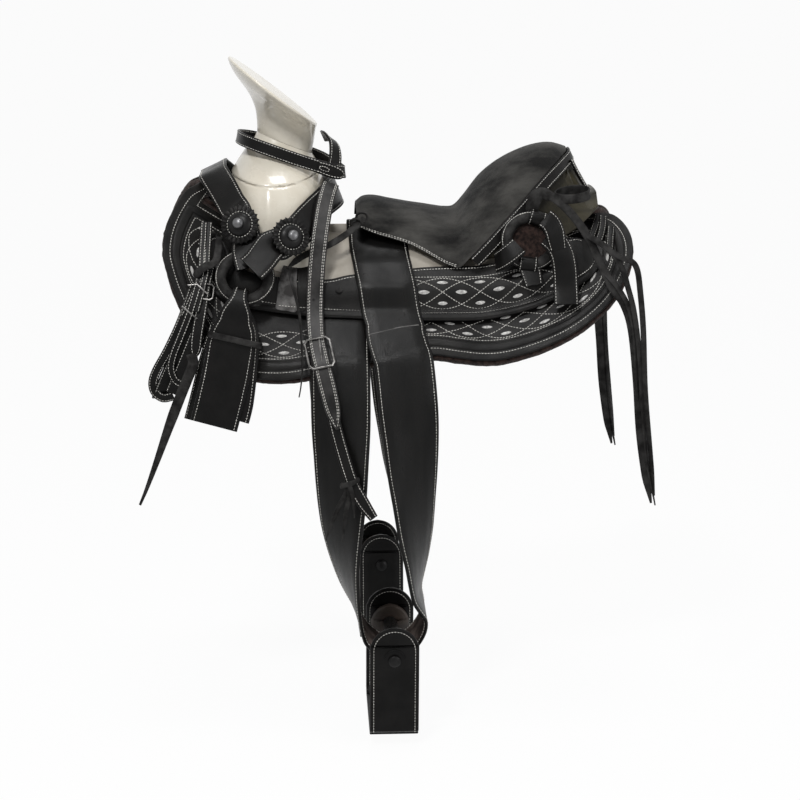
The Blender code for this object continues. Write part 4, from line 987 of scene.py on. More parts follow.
def add_fork():
    """The fork, cut to sit on both bars and open over the horse's back."""
    rings = [oval(row, 120) for row in spline(FORK_ROWS, 12)]
    for ring in rings:
        mid = sum(ring, Vector()) / len(ring)
        for k, p in enumerate(ring):
            ring[k] = p - (p - mid).normalized() * groove_depth(p.x, p.z)
    verts, faces = skin_rings(rings)
    fork = tidy_faces(add("fork_look", verts, faces, CREAM, "saddle", ("fork",)), 50)
    cutters = []
    for word, side in SIDES:
        block = []
        for n in (-0.080, BAR_HIGH + GAP):
            block.append([skin(side, x, s, n) for x in np.linspace(*FORK_CUT, 22)
                          for s in np.linspace(0.026, 0.270, 20)])
        cutters.append(grid_block("fork_foot_" + word, block, 22, 20))
    rings = []
    for x in np.linspace(*FORK_CUT, 18):
        edge = skin(1, x, BAR_INNER, BAR_HIGH - 0.001)
        ring = [Vector((x, edge.y, -0.30)), Vector((x, -edge.y, -0.30))]
        for k in range(25):
            angle = math.pi * k / 24
            rise = 0.026 * math.sin(angle) ** 0.8
            ring.append(Vector((x, -edge.y * math.cos(angle), edge.z + rise)))
        rings.append(ring)
    cutters.append(face_out(mesh_object("gullet", *skin_rings(rings))))
    for item in cutters:
        mod = fork.modifiers.new("cut", "BOOLEAN")
        mod.operation = "DIFFERENCE"
        mod.solver = "EXACT"
        mod.object = item
    freeze(fork)
    for item in cutters:
        bpy.data.objects.remove(item)
    fork.data.set_sharp_from_angle(angle=math.radians(45))


def grid_block(name, layers, across, down):
    """A solid between two layers of the same grid of points."""
    verts = layers[0] + layers[1]
    size = across * down
    faces = []
    for i in range(across - 1):
        for k in range(down - 1):
            p = i * down + k
            quad = (p, p + 1, p + down + 1, p + down)
            faces += [quad, tuple(q + size for q in quad[::-1])]
    rim = list(range(down)) + [i * down + down - 1 for i in range(1, across)]
    rim += [(across - 1) * down + k for k in range(down - 2, -1, -1)]
    rim += [i * down for i in range(across - 2, 0, -1)]
    for a, b in zip(rim, rim[1:] + rim[:1]):
        faces.append((a, b, b + size, a + size))
    return face_out(mesh_object(name, verts, faces))


def freeze(obj):
    bpy.context.view_layer.update()
    graph = bpy.context.evaluated_depsgraph_get()
    mesh = bpy.data.meshes.new_from_object(obj.evaluated_get(graph))
    obj.modifiers.clear()
    obj.data = mesh


# Each row: x, half width, z at the edge, z in the middle, fullness of the crown
SEAT_ROWS = [
    (-0.066, 0.0740, 0.0230, 0.0500, 2.6), (-0.056, 0.0790, 0.0190, 0.0580, 2.6),
    (-0.040, 0.0830, 0.0130, 0.0600, 2.6), (-0.015, 0.0860, 0.0060, 0.0550, 2.6),
    (0.010, 0.0900, -0.0020, 0.0505, 2.6), (0.030, 0.0985, -0.0115, 0.0475, 2.4),
    (0.050, 0.1090, -0.0225, 0.0445, 2.2), (0.065, 0.1150, -0.0295, 0.0430, 2.0),
    (0.080, 0.1180, -0.0320, 0.0450, 1.9), (0.095, 0.1175, -0.0180, 0.0610, 1.9),
    (0.116, 0.1150, 0.0030, 0.0880, 1.9), (0.135, 0.1110, 0.0230, 0.1050, 1.9),
    (0.153, 0.1060, 0.0420, 0.1165, 2.0), (0.172, 0.0970, 0.0610, 0.1260, 2.0),
    (0.191, 0.0840, 0.0810, 0.1330, 2.1), (0.210, 0.0670, 0.0985, 0.1370, 2.2),
    (0.224, 0.0500, 0.1100, 0.1370, 2.3), (0.235, 0.0330, 0.1185, 0.1345, 2.3),
    (0.245, 0.0150, 0.1260, 0.1310, 2.3)]
CANTLE_BACK = [
    (0.246, 0.0110, 0.1180, 0.1225, 2.3), (0.252, 0.0200, 0.1010, 0.1090, 2.3),
    (0.262, 0.0290, 0.0810, 0.0910, 2.3), (0.274, 0.0370, 0.0610, 0.0710, 2.3),
    (0.286, 0.0430, 0.0430, 0.0520, 2.3)]
CANTLE_FOOT = [
    (0.018, 0.070), (0.050, 0.088), (0.080, 0.090), (0.200, 0.090), (0.240, 0.086),
    (0.262, 0.076), (0.286, 0.058)]
SEAT_FRONT = -0.066
SEAT_REAR = 0.245
SEAT_EDGE = 0.0070
SEAT_STEPS = 40


def arch(x, half, edge_z, top_z, power, count):
    """An arched line over the seat, of count points to each side of its middle."""
    points = []
    for k in range(-count, count + 1):
        t = math.sin(math.pi / 2 * k / count)
        points.append(Vector((x, half * t, edge_z + (top_z - edge_z) * (1 - abs(t) ** power))))
    return points


def seat_under(x, count, clear=0.0, drop=0.0):
    """The underside of the seat cover, or a line that is clear of it."""
    half, edge_z, top_z, power = lookup(SEAT_ROWS, x)
    low = half - min(SEAT_EDGE, half * 0.45) - clear
    return arch(x, low, edge_z + 0.0012, top_z - min(SEAT_T, (top_z - edge_z) * 0.6) - drop, power, count)


def add_seat():
    rings = []
    for x in np.linspace(SEAT_FRONT, SEAT_REAR, 112):
        outer = arch(x, *lookup(SEAT_ROWS, x), 26)
        for p in outer[3:-3]:
            p.z += 0.0006 * noise.noise(p * 26)
        rings.append(outer + seat_under(x, 26)[::-1])
    verts, faces = skin_rings(rings)
    seat = tidy_faces(add("suede_seat", verts, faces, SUEDE, "saddle", ("seat_cover",)), 50)
    for side in (-1, 1):
        for back in (1, 2):
            spot = SEAT_STEPS + side * (SEAT_STEPS - 2 - 2 * back)
            line = [arch(x, *lookup(SEAT_ROWS, x), SEAT_STEPS)[spot] for x in np.linspace(-0.062, 0.076, 60)]
            sew("saddle", line, [Vector((0, side, 0.35))] * len(line))


def add_cantle():
    rings = []
    for x in np.concatenate([np.linspace(0.018, 0.2445, 60), np.linspace(0.246, 0.286, 16)]):
        if x < SEAT_REAR:
            top = seat_under(x, 20, 0.0006, 0.0014)
        else:
            top = arch(x, *lookup(CANTLE_BACK, x), 20)
        foot = lookup(CANTLE_FOOT, x)[0]
        wall = min(foot + 0.002, 0.092)
        rows = ((BAR_INNER + 0.001, UPPER_OVER_BAR + 0.0004), (foot, UPPER_OVER_BAR + 0.0004),
                (wall, UPPER_OVER_BAR + UPPER_T + 0.0010))
        ring = [skin(-1, x, *row) for row in rows] + top + [skin(1, x, *row) for row in rows[::-1]]
        base = ring[-1]
        rise = max(0.006, top[20].z - 0.016 - base.z)
        for k in range(1, 16):
            angle = math.pi * k / 16
            ring.append(Vector((x, base.y * math.cos(angle), base.z + rise * math.sin(angle) ** 0.8)))
        rings.append(ring)
    verts, faces = skin_rings(rings)
    tidy_faces(add("cantle_look", verts, faces, OLIVE, "saddle", ("cantle",)), 50)


add_horn()
add_fork()
add_seat()
add_cantle()

# Straps of the saddle and of its moving pieces
LATIGO_WIDTHS = ((-0.130, 0.0680), (-0.110, 0.0620), (-0.100, 0.0540), (-0.092, 0.0460), (-0.085, 0.0370),
                 (-0.080, 0.0))
strap("cantle_binding", insets=(0.0028,), both=False)
for name in ("fork_strap_front", "fork_strap_rear"):
    strap(name, insets=(0.0036,), crown=0.25, both=False)
for name in ("horn_loop", "hang_strap_loop", "hang_strap_tail", "bundle_billet", "strap_bundle"):
    strap(name)
strap("hang_strap", GREY, (0.0026, 0.0048))
for word, side in SIDES:
    strap("rear_strap_front_" + word, insets=(0.0034,), crown=0.3, both=False)
    strap("rear_strap_rear_" + word, crown=0.4, both=False)
    strap("latigo_" + word, insets=(0.0050,), wide=LATIGO_WIDTHS)


# Stirrup leathers: one long loop on each side, bending where it leaves the skirt's hem
def toward(rows):
    """The rows with their width and thickness turned to follow on from one another."""
    for i, row in enumerate(rows):
        run = rows[min(i + 1, len(rows) - 1)][0:3] - rows[max(i - 1, 0)][0:3]
        if np.cross(row[3:6], row[6:9]) @ run < 0:
            row[6:9] *= -1
        if i and row[3:6] @ rows[i - 1][3:6] < 0:
            row[3:9] *= -1
    return rows


STIRRUP_X = -0.0225
STIRRUP_Y = 0.212
STIRRUP_Z = -0.5600
JOIN = 0.01
FLESH_TOP = -0.47
SCRATCH = ((-0.0530, -0.178, -0.1150), (-0.0290, -0.178, -0.1075), (-0.0080, -0.178, -0.1010),
           (0.0180, -0.178, -0.0960))


def add_leather(word, side):
    over = strap_run("stirrup_leather_upper_" + word, 3)[0]
    fall = strap_run("stirrup_leather_" + word, 3)[0]
    ways = ((over, fall), (over, fall[::-1]), (over[::-1], fall[::-1]), (over[::-1], fall))
    over, fall = next((a, b) for a, b in ways if np.linalg.norm(a[-1][0:3] - b[0][0:3]) <= JOIN)
    start = int(np.argmin([abs(row[1]) for row in over]))
    rows = toward(np.concatenate([over[start:], fall, over[:start]]))
    middle = np.array([STIRRUP_X, side * STIRRUP_Y, -0.50])

    def flesh(row, top, under):
        within = row[6:9] @ (middle - row[0:3]) > 0
        return row[2] < FLESH_TOP and (top if within else under)

    obj = strap_mesh("stirrup_leather_look_" + word, rows, False, ARCION, None,
                     ("stirrup_leather_upper_" + word, "stirrup_leather_" + word), FLESH, flesh, edge=0.0015)
    strap_seams(rows, False, "bend_" + word, (0.0045,), True)
    pieces = [obj]
    if side < 0:
        scratch = []
        for spot in SCRATCH:
            hit, where, face, index = obj.closest_point_on_mesh(Vector(spot))
            scratch.append((where + face * 0.0001, face, 0.0015))
        pieces.append(ribbon("pale_scratch", scratch, 0.0003, PALE, None)[0])
    pieces.append(add("stirrup_leather_seams_" + word, *sewn.pop("bend_" + word), THREAD, None))
    for piece in pieces:
        skin(side, -0.040, 0.176, 0.0365)
        skin(side, -0.040, 0.198, 0.0365)
        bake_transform(piece)


for word, side in SIDES:
    add_leather(word, side)


# Rings, rosettes and conchos
def axes_of(node, side):
    """Centre and outward face of a flat round solid."""
    spots = np.array([v.co[:] for v in NODES[node].data.vertices])
    middle = spots.mean(axis=0)
    face = np.linalg.svd(spots - middle, full_matrices=False)[2][2]
    if face[1] * side < 0:
        face = -face
    face = Vector(face)
    across = UP.cross(face).normalized() * -side
    return Vector(middle), face, across, face.cross(across) * -side


def around(frame_axes, radius, angle, lift=0.0):
    middle, face, across, up = frame_axes
    return middle + across * radius * math.cos(angle) + up * radius * math.sin(angle) + face * lift


RING_R = 0.034
TUBE_R = 0.0079
SLEEVE_R = 0.0096


def ring_look(node, side):
    """A ring covered in leather, with the seam as a low fin round the outside."""
    axes = axes_of(node, side)
    rings = []
    for angle in turns(72):
        ring = []
        for j, turn in enumerate(turns(16)):
            fin = 1 + 0.10 * max(0.0, math.cos(turn)) ** 12
            reach = TUBE_R * fin * (1 + 0.03 * math.sin(angle * 5 + j))
            ring.append(around(axes, RING_R + reach * math.cos(turn), angle, reach * math.sin(turn)))
        rings.append(ring)
    verts, faces = skin_rings(rings, True)
    tidy_faces(add("look_" + node, verts, faces, LACE, body_of(node), (node,)), 80)
    spots = [around(axes, 0.0408, angle, 0.0042) for angle in turns(60, 1)]
    sew("saddle", spots, [axes[1] + (p - axes[0]).normalized() * 0.8 for p in spots], PITCH * 0.85)
    return axes


def sleeve(name, axes, degrees, width):
    """A stitched piece of leather wrapped round the ring's tube."""
    middle = around(axes, RING_R, math.radians(degrees))
    radial = (middle - axes[0]).normalized()
    stations = []
    for turn in turns(10):
        away = radial * math.cos(turn) + axes[1] * math.sin(turn)
        stations.append((middle + away * SLEEVE_R, away, width))
    ribbon(name, stations, 0.0026, BLACK, insets=(0.0028,), closed=True, per=3, crown=0.2)


def dial(name, axes, rows, sides, mat, body="saddle", nodes=(), lobes=0, depth=0.0):
    """A round piece from rows of radius and lift."""
    rings = []
    for radius, lift in rows:
        rings.append([around(axes, radius * (1 - depth * abs(math.sin(lobes * angle / 2))), angle, lift)
                      for angle in turns(sides)])
    verts, faces = skin_rings(rings)
    return tidy_faces(add(name, verts, faces, mat, body, nodes), 40)


PETALS = 22


def rosette_look(tag, side):
    axes = axes_of("rosette_" + tag, side)
    rows = [(0.0255, -0.0026), (0.029, -0.0015), (0.029, 0.0010), (0.0275, 0.0017), (0.004, 0.0019)]
    dial("rosette_look_" + tag, axes, rows, 110, BLACK, nodes=("rosette_" + tag,), lobes=PETALS, depth=0.10)
    verts, faces = [], []
    for k in range(PETALS):
        angle = 2 * math.pi * (k + 0.5) / PETALS
        rings = []
        for t in range(7):
            along = math.cos(math.pi * t / 6)
            full = max(0.12, math.sin(math.pi * t / 6))
            ring = []
            for turn in turns(8):
                swing = 0.0021 * full * math.cos(turn) / 0.0235
                lift = 0.0018 + 0.0016 * full * math.sin(turn)
                ring.append(around(axes, 0.0232 + 0.0040 * along, angle + swing, lift))
            rings.append(ring)
        more, quads = skin_rings(rings)
        faces += [tuple(i + len(verts) for i in q) for q in quads]
        verts += more
    tidy_faces(add("rosette_knots_" + tag, verts, faces, LACE, "saddle"), 80)
    rim = [around(axes, 0.0185, angle, 0.0020) for angle in turns(40, 1)]
    sew("saddle", rim, [axes[1]] * len(rim), PITCH, 0.0022)
    dome = [(0.0165, 0.0016), (0.0175, 0.0028), (0.0168, 0.0046), (0.0140, 0.0066), (0.0100, 0.0080),
            (0.0070, 0.0084), (0.001, 0.0085)]
    dial("concho_look_" + tag, axes, dome, 48, JAPAN, nodes=("concho_" + tag,))
    knob = [(0.0072, 0.0080), (0.0080, 0.0100), (0.0078, 0.0122), (0.0062, 0.0142), (0.0036, 0.0153),
            (0.0006, 0.0156)]
    dial("concho_knob_" + tag, axes, knob, 32, STEEL)


for word, side in SIDES:
    for tag in ("front_", "rear_"):
        rosette_look(tag + word, side)
    ring_look("front_ring_" + word, side)
    axes = ring_look("rear_ring_" + word, side)
    for tag, degrees, width in (("top", 72, 0.024), ("right", 38, 0.020), ("low", 262, 0.027)):
        sleeve("ring_sleeve_%s_%s" % (tag, word), axes, degrees, width)
    rows = [(0.027, -0.0080), (0.0275, -0.0040), (0.020, -0.0022), (0.002, -0.0014)]
    dial("ring_felt_" + word, axes, rows, 40, FELT)


# More rear rigging: folded strap ends, cantle straps, bow and strings
def at_side(side, rows, face):
    """Stations from x, y, z and width, given for the near side."""
    return [(flip(side, row[0:3]), flip(side, face), row[3]) for row in rows]


def on_skin(side, rows):
    return [(skin(side, x, s, n), outward(side, x, s), wide) for x, s, n, wide in rows]


# Each rear string: tag, width, twist in degrees, route
STRINGS = (
    ("a", 0.0125, 25, [
        (0.2099, -0.1240, 0.0711), (0.2307, -0.1320, 0.0547), (0.2561, -0.1500, 0.0223),
        (0.2761, -0.1660, -0.0186), (0.2919, -0.1800, -0.0525), (0.3086, -0.1860, -0.0761),
        (0.3209, -0.1860, -0.1136), (0.3296, -0.1870, -0.1861), (0.3355, -0.1880, -0.2593),
        (0.3440, -0.1890, -0.3184), (0.3538, -0.1900, -0.3674)]),
    ("b", 0.0090, -60, [
        (0.2603, -0.1535, 0.0168), (0.2762, -0.1640, 0.0081), (0.2921, -0.1740, -0.0050),
        (0.3054, -0.1825, -0.0252), (0.3138, -0.1875, -0.0531), (0.3230, -0.1885, -0.0875),
        (0.3313, -0.1890, -0.1423), (0.3372, -0.1900, -0.2150), (0.3464, -0.1910, -0.3033),
        (0.3597, -0.1910, -0.3705)]),
    ("c", 0.0085, 70, [
        (0.2759, -0.1660, 0.0083), (0.3001, -0.1780, -0.0088), (0.3177, -0.1850, -0.0150),
        (0.3261, -0.1885, -0.0275), (0.3309, -0.1900, -0.0589), (0.3364, -0.1905, -0.1134),
        (0.3412, -0.1910, -0.2004), (0.3504, -0.1920, -0.2885), (0.3580, -0.1920, -0.3556)]),
    ("d", 0.0080, -30, [
        (0.2842, -0.1735, -0.0350), (0.3002, -0.1835, -0.0537), (0.3144, -0.1875, -0.0790),
        (0.3236, -0.1885, -0.1135), (0.3276, -0.1885, -0.1599), (0.3318, -0.1885, -0.2154)]))
for word, side in SIDES:
    for tag, wide, twist, route in STRINGS:
        nodes = ("rear_string_" + word,) if tag == "a" else ()
        thong("string_%s_%s" % (tag, word), side, route, wide, twist=twist, nodes=nodes)
    knot = [(0.1835, -0.1150, 0.0480, 0.020), (0.1850, -0.1190, 0.0600, 0.022),
            (0.1900, -0.1215, 0.0710, 0.022), (0.1985, -0.1225, 0.0745, 0.018),
            (0.2110, -0.1225, 0.0700, 0.013)]
    ribbon("string_knot_" + word, at_side(side, knot, (-0.45, -0.8, 0.35)), 0.0024, LACE)
    loop = []
    for angle in turns(12):
        x = 0.2410 + 0.0255 * math.cos(angle)
        y = -0.1180 - 0.0140 * math.sin(angle) * (1 + 0.35 * math.cos(angle))
        z = 0.0725 - 0.0050 * math.sin(angle) + 0.10 * (x - 0.2410)
        loop.append((flip(side, (x, y, z)), flip(side, (math.cos(angle), -math.sin(angle), 0.15)), 0.0135))
    ribbon("bow_look_" + word, loop, 0.0020, LACE, closed=True, nodes=("rear_bow_" + word,))
    fold = [(0.1985, -0.1470, 0.0420, 0.030), (0.2060, -0.1500, 0.0360, 0.030),
            (0.2120, -0.1520, 0.0240, 0.030), (0.2150, -0.1530, 0.0100, 0.028),
            (0.2175, -0.1530, -0.0020, 0.026)]
    ribbon("rigging_cuff_" + word, at_side(side, fold, (0.15, -0.92, 0.30)), 0.0030, BLACK,
           insets=(0.0028,), crown=0.3)
    drop = [(0.1765, -0.1420, -0.0225, 0.030), (0.1790, -0.1470, -0.0330, 0.030),
            (0.1815, -0.1530, -0.0440, 0.028), (0.1830, -0.1580, -0.0530, 0.026)]
    ribbon("rigging_end_" + word, at_side(side, drop, (0, -0.90, 0.42)), 0.0030, BLACK,
           insets=(0.0028,), crown=0.6)
    for tag, rows in (("a", [(0.2877, 0.0576), (0.2816, 0.0760), (0.2739, 0.0953)]),
                      ("b", [(0.2945, 0.0636), (0.2907, 0.0872), (0.2845, 0.1049)]),
                      ("c", [(0.3034, 0.0908), (0.2998, 0.1114), (0.2965, 0.1305)])):
        stations = on_skin(side, [(x, s, 0.0255, 0.0115) for x, s in rows])
        ribbon("lobe_strap_%s_%s" % (tag, word), stations, 0.0028, BLACK, insets=(0.0022,), crown=0.5)
    for tag, y in (("a", -0.013), ("b", -0.030)):
        back = [(0.2520, y * 0.8, 0.1130, 0.011), (0.2610, y, 0.0950, 0.011),
                (0.2715, y * 1.15, 0.0765, 0.011), (0.2830, y * 1.3, 0.0560, 0.011)]
        ribbon("cantle_strap_%s_%s" % (tag, word), at_side(side, back, (0.80, -0.35, 0.48)), 0.0024, BLACK,
               insets=(0.0020,))

# Near side only: spare straps, wrap and long thong at the front ring
BUNDLE = (
    ("a", 0.0100, [(-0.2862, 0.0625, 0.0440), (-0.2875, 0.0907, 0.0450), (-0.2889, 0.1164, 0.0460),
                   (-0.2903, 0.1351, 0.0470), (-0.2988, 0.1597, 0.0470), (-0.3146, 0.1949, 0.0460)]),
    ("b", 0.0100, [(-0.2792, 0.0610, 0.0450), (-0.2805, 0.0894, 0.0460), (-0.2818, 0.1154, 0.0475),
                   (-0.2832, 0.1342, 0.0490), (-0.2889, 0.1584, 0.0495), (-0.2976, 0.1875, 0.0490)]),
    ("c", 0.0135, [(-0.2989, 0.1516, 0.0440), (-0.3190, 0.2031, 0.0440), (-0.3382, 0.2419, 0.0440),
                   (-0.3549, 0.2729, 0.0440), (-0.3612, 0.2925, 0.0440), (-0.3588, 0.3067, 0.0430),
                   (-0.3473, 0.3123, 0.0430), (-0.3326, 0.3054, 0.0430)]),
    ("d", 0.0115, [(-0.2930, 0.1494, 0.0500), (-0.3059, 0.1888, 0.0500), (-0.3205, 0.2231, 0.0500),
                   (-0.3309, 0.2473, 0.0500), (-0.3342, 0.2650, 0.0500), (-0.3288, 0.2799, 0.0500),
                   (-0.3203, 0.2839, 0.0490)]))
for tag, wide, rows in BUNDLE:
    ribbon("spare_strap_" + tag, on_skin(-1, [(*row, wide) for row in rows]), 0.0026, BLACK, insets=(0.0022,))
INNER_FOLDS = (
    ("e", 0.018, [(-0.2700, -0.1690, -0.1050), (-0.2770, -0.1710, -0.1270), (-0.2865, -0.1735, -0.1560),
                  (-0.2935, -0.1775, -0.1840), (-0.3010, -0.1830, -0.2120), (-0.3080, -0.1870, -0.2370)]),
    ("f", 0.023, [(-0.2960, -0.1690, -0.1180), (-0.3035, -0.1730, -0.1354), (-0.3175, -0.1760, -0.1688),
                  (-0.3260, -0.1770, -0.1870), (-0.3320, -0.1775, -0.2010)]))
for tag, wide, rows in INNER_FOLDS:
    ribbon("spare_strap_" + tag, [(spot, (-0.12, -0.97, 0.2), wide) for spot in rows], 0.0026, BLACK,
           insets=(0.0022,))
wrap = [(-0.2647, 0.0836, 0.0520, 0.0100), (-0.2661, 0.1052, 0.0530, 0.0105),
        (-0.2703, 0.1218, 0.0560, 0.0110), (-0.2843, 0.1304, 0.0570, 0.0120),
        (-0.2955, 0.1396, 0.0530, 0.0110), (-0.2990, 0.1420, 0.0440, 0.0100)]
ribbon("bundle_wrap", on_skin(-1, wrap), 0.0022, LACE, crown=0.3)
route = [(-0.3050, -0.1860, -0.1420), (-0.3023, -0.1900, -0.1558), (-0.3109, -0.1960, -0.1775),
         (-0.3226, -0.1990, -0.2056), (-0.3361, -0.1990, -0.2401), (-0.3541, -0.1990, -0.2893),
         (-0.3707, -0.1990, -0.3330), (-0.3813, -0.1990, -0.3578)]
thong("long_thong", -1, route, 0.0150, (0.2, -0.95, 0.2), 35, 0.14, nodes=("bundle_thong",))

# Lace from the seat's front edge, with a thin end hanging from it
route = [(-0.0560, -0.0860, 0.0360), (-0.0775, -0.0990, 0.0185), (-0.1066, -0.1130, 0.0020),
         (-0.1300, -0.1180, -0.0070), (-0.1500, -0.1290, -0.0150), (-0.1690, -0.1410, -0.0290)]
thong("seat_lace_look", -1, route, 0.0100, (-0.1, -0.85, 0.5), 0, 0.02, nodes=("seat_lace",))
route = [(-0.1640, -0.1430, -0.0250), (-0.1644, -0.1560, -0.0367), (-0.1589, -0.1670, -0.0568),
         (-0.1522, -0.1800, -0.0852), (-0.1497, -0.1890, -0.1135), (-0.1483, -0.2010, -0.1572),
         (-0.1505, -0.2060, -0.1850), (-0.1535, -0.2080, -0.2018)]
thong("lace_end", -1, route, 0.0040, twist=90)
for k, (x, z, lean) in enumerate(((-0.0600, 0.0380, 0.5), (-0.0680, 0.0300, -0.4))):
    loop = []
    for angle in turns(8):
        loop.append(((x + 0.008 * math.cos(angle), -0.0885 - 0.003 * k, z + 0.0065 * math.sin(angle)),
                     (math.cos(angle), lean, math.sin(angle)), 0.0060))
    ribbon("seat_knot_%d" % k, loop, 0.0020, LACE, closed=True)


# Worn grey flap under the lace, and a hole with its lace in the skirt
def on_upper(x, s):
    return upper_high(x, s) + 0.0010


FLAP = [(-0.1660, 0.0900), (-0.1728, 0.1057), (-0.1801, 0.1323), (-0.1840, 0.1560), (-0.1848, 0.1655),
        (-0.1700, 0.1668), (-0.1549, 0.1650), (-0.1545, 0.1300), (-0.1540, 0.0920)]
FLAP_REAR = [(-0.1535, 0.0930), (-0.1532, 0.1300), (-0.1535, 0.1640), (-0.1440, 0.1650), (-0.1385, 0.1600),
             (-0.1370, 0.1300), (-0.1368, 0.0973)]
panel("flap_front", -1, FLAP, on_upper, lambda x, s: on_upper(x, s) + 0.0022, PALE, rim=0.0011)
panel("flap_rear", -1, FLAP_REAR, on_upper, lambda x, s: on_upper(x, s) + 0.0018, SKIRTING, rim=0.0009)
for a, b in ((-0.1815, -0.1570), (-0.1515, -0.1400)):
    sew_side(-1, [(x, 0.1612) for x in np.linspace(a, b, 8)], lambda x, s: on_upper(x, s) + 0.0022)


def eyelet(name, spot, face, radius, body, rim=None):
    face = Vector(face).normalized()
    across = UP.cross(face).normalized()
    axes = (Vector(spot), face, across, face.cross(across))
    # Nothing is cut: the dark disc is painted shade standing in for the inside of the hole
    dial(name, axes, [(radius, -0.0006), (radius, 0.0002), (radius * 0.2, 0.0003)], 20, HOLE_SHADE, body)
    if rim:
        ring = [(radius * 1.05, -0.0004), (radius * 1.6, -0.0004), (radius * 1.5, 0.0012),
                (radius * 1.1, 0.0012)]
        dial(name + "_rim", axes, ring, 20, rim, body)


SKIRT_HOLE = (-0.0947, 0.1403)
STRAP_HOLES = ((-0.1312, -0.1508, -0.0721), (-0.1312, -0.1618, -0.1077), (-0.1290, -0.1370, -0.0200))
eyelet("skirt_hole", skin(-1, *SKIRT_HOLE, upper_high(*SKIRT_HOLE) + 0.0006), outward(-1, *SKIRT_HOLE),
       0.0030, "saddle", LACE)
for k, spot in enumerate(STRAP_HOLES):
    hit, where, face, index = bpy.data.objects["look_hang_strap"].closest_point_on_mesh(Vector(spot))
    eyelet("strap_hole_%d" % k, where + face * 0.0004, face, 0.0017, "hang_strap")

# The horn strap's rounded end with its slit, the latigo keepers and the hanging tie
HORN_STRAP_END = [
    (-0.1220, -0.0682, 0.1092, 0.019), (-0.1120, -0.0686, 0.1060, 0.020),
    (-0.1010, -0.0682, 0.1022, 0.0205), (-0.0920, -0.0672, 0.0990, 0.018),
    (-0.0870, -0.0664, 0.0972, 0.013), (-0.0845, -0.0658, 0.0963, 0.006)]
ribbon("horn_strap_end", at_side(-1, HORN_STRAP_END, (0.1, -1, 0.1)), 0.0030, BLACK, insets=(0.0030,))
slit = [(-0.1130 + 0.0075 * math.cos(a), -0.0702, 0.1062 + 0.0030 * math.sin(a) - 0.3 * 0.0075 * math.cos(a))
        for a in turns(16, 1)]
sew("saddle", slit, [(0.1, -1, 0.1)] * len(slit), PITCH * 0.8, 0.0024)
for word, side in SIDES:
    strap("latigo_keeper_" + word, LACE, (), crown=0.3)
for k, route in enumerate((
        [(-0.0860, -0.2420, -0.3230), (-0.0900, -0.2440, -0.3350), (-0.0976, -0.2450, -0.3490),
         (-0.1090, -0.2455, -0.3760), (-0.1180, -0.2460, -0.4000)],
        [(-0.0830, -0.2435, -0.3230), (-0.0850, -0.2455, -0.3400), (-0.0900, -0.2465, -0.3660),
         (-0.0945, -0.2470, -0.4030)],
        [(-0.0845, -0.2450, -0.3200), (-0.0800, -0.2465, -0.3350), (-0.0780, -0.2470, -0.3520),
         (-0.0775, -0.2475, -0.3680)])):
    thong("tie_end_%d" % k, -1, route, 0.0065, twist=20 - 30 * k, body="hang_strap",
          nodes=("tail_tie",) if k == 0 else ())
tie = [((-0.0835 + 0.0125 * math.cos(a), -0.2405 - 0.0050 * math.sin(a), -0.3190 + 0.004 * math.cos(a)),
        (math.cos(a), -math.sin(a), 0), 0.0075) for a in turns(8)]
ribbon("tie_band", tie, 0.0022, LACE, "hang_strap", closed=True, crown=0.3)


# Buckles keep their wire frames; each gets its tongue, and the bundle two more bars of wire
def wire(name, spots, radius, body):
    rings = []
    last = len(spots) - 1
    for i, p in enumerate(spots):
        run = (spots[min(i + 1, last)] - spots[max(i - 1, 0)]).normalized()
        a = run.orthogonal().normalized()
        b = run.cross(a)
        rings.append([p + (a * math.cos(angle) + b * math.sin(angle)) * radius for angle in turns(10)])
    verts, faces = skin_rings(rings)
    tidy_faces(add(name, verts, faces, WIRE, body), 70)


for node, radius, spots in (
        ("hang_strap", 0.0013, ((0.0, -0.004, 0.020), (0.002, -0.004, 0.0), (0.004, -0.004, -0.022))),
        ("bundle", 0.0011, ((0.002, -0.003, 0.009), (0, -0.004, 0), (-0.002, -0.003, -0.011)))):
    buckle = node + "_buckle"
    NODES[buckle].data.materials.clear()
    NODES[buckle].data.materials.append(WIRE)
    low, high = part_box(buckle)
    mid = (Vector(low) + Vector(high)) / 2
    wire(node + "_tongue", [mid + Vector(spot) for spot in spots], radius, body_of(buckle))
for tag, spots in (
        ("top", ((-0.3085, 0.1560, 0.0500), (-0.2960, 0.1530, 0.0520), (-0.2800, 0.1640, 0.0520))),
        ("low", ((-0.3170, 0.1830, 0.0500), (-0.3060, 0.1900, 0.0520), (-0.2960, 0.1960, 0.0500)))):
    wire("spare_buckle_" + tag, [skin(-1, *spot) for spot in spots], 0.0012, "saddle")

# Stirrups: bent wood in a leather cover, hung on a turned bolt
TILT_C = math.cos(math.radians(6))
TILT_S = math.sin(math.radians(6))
STIRRUP_HALF = 0.0745
COVER_T = 0.0040
FRAME_T = 0.0100
COVER_FOOT = -0.117


def stirrup_point(side, x, w, h):
    y = STIRRUP_Y + w * TILT_C + h * TILT_S
    return Vector((STIRRUP_X + x, side * y, STIRRUP_Z - w * TILT_S + h * TILT_C))


def stirrup_out(side):
    return stirrup_point(side, 0, 1, 0) - stirrup_point(side, 0, 0, 0)


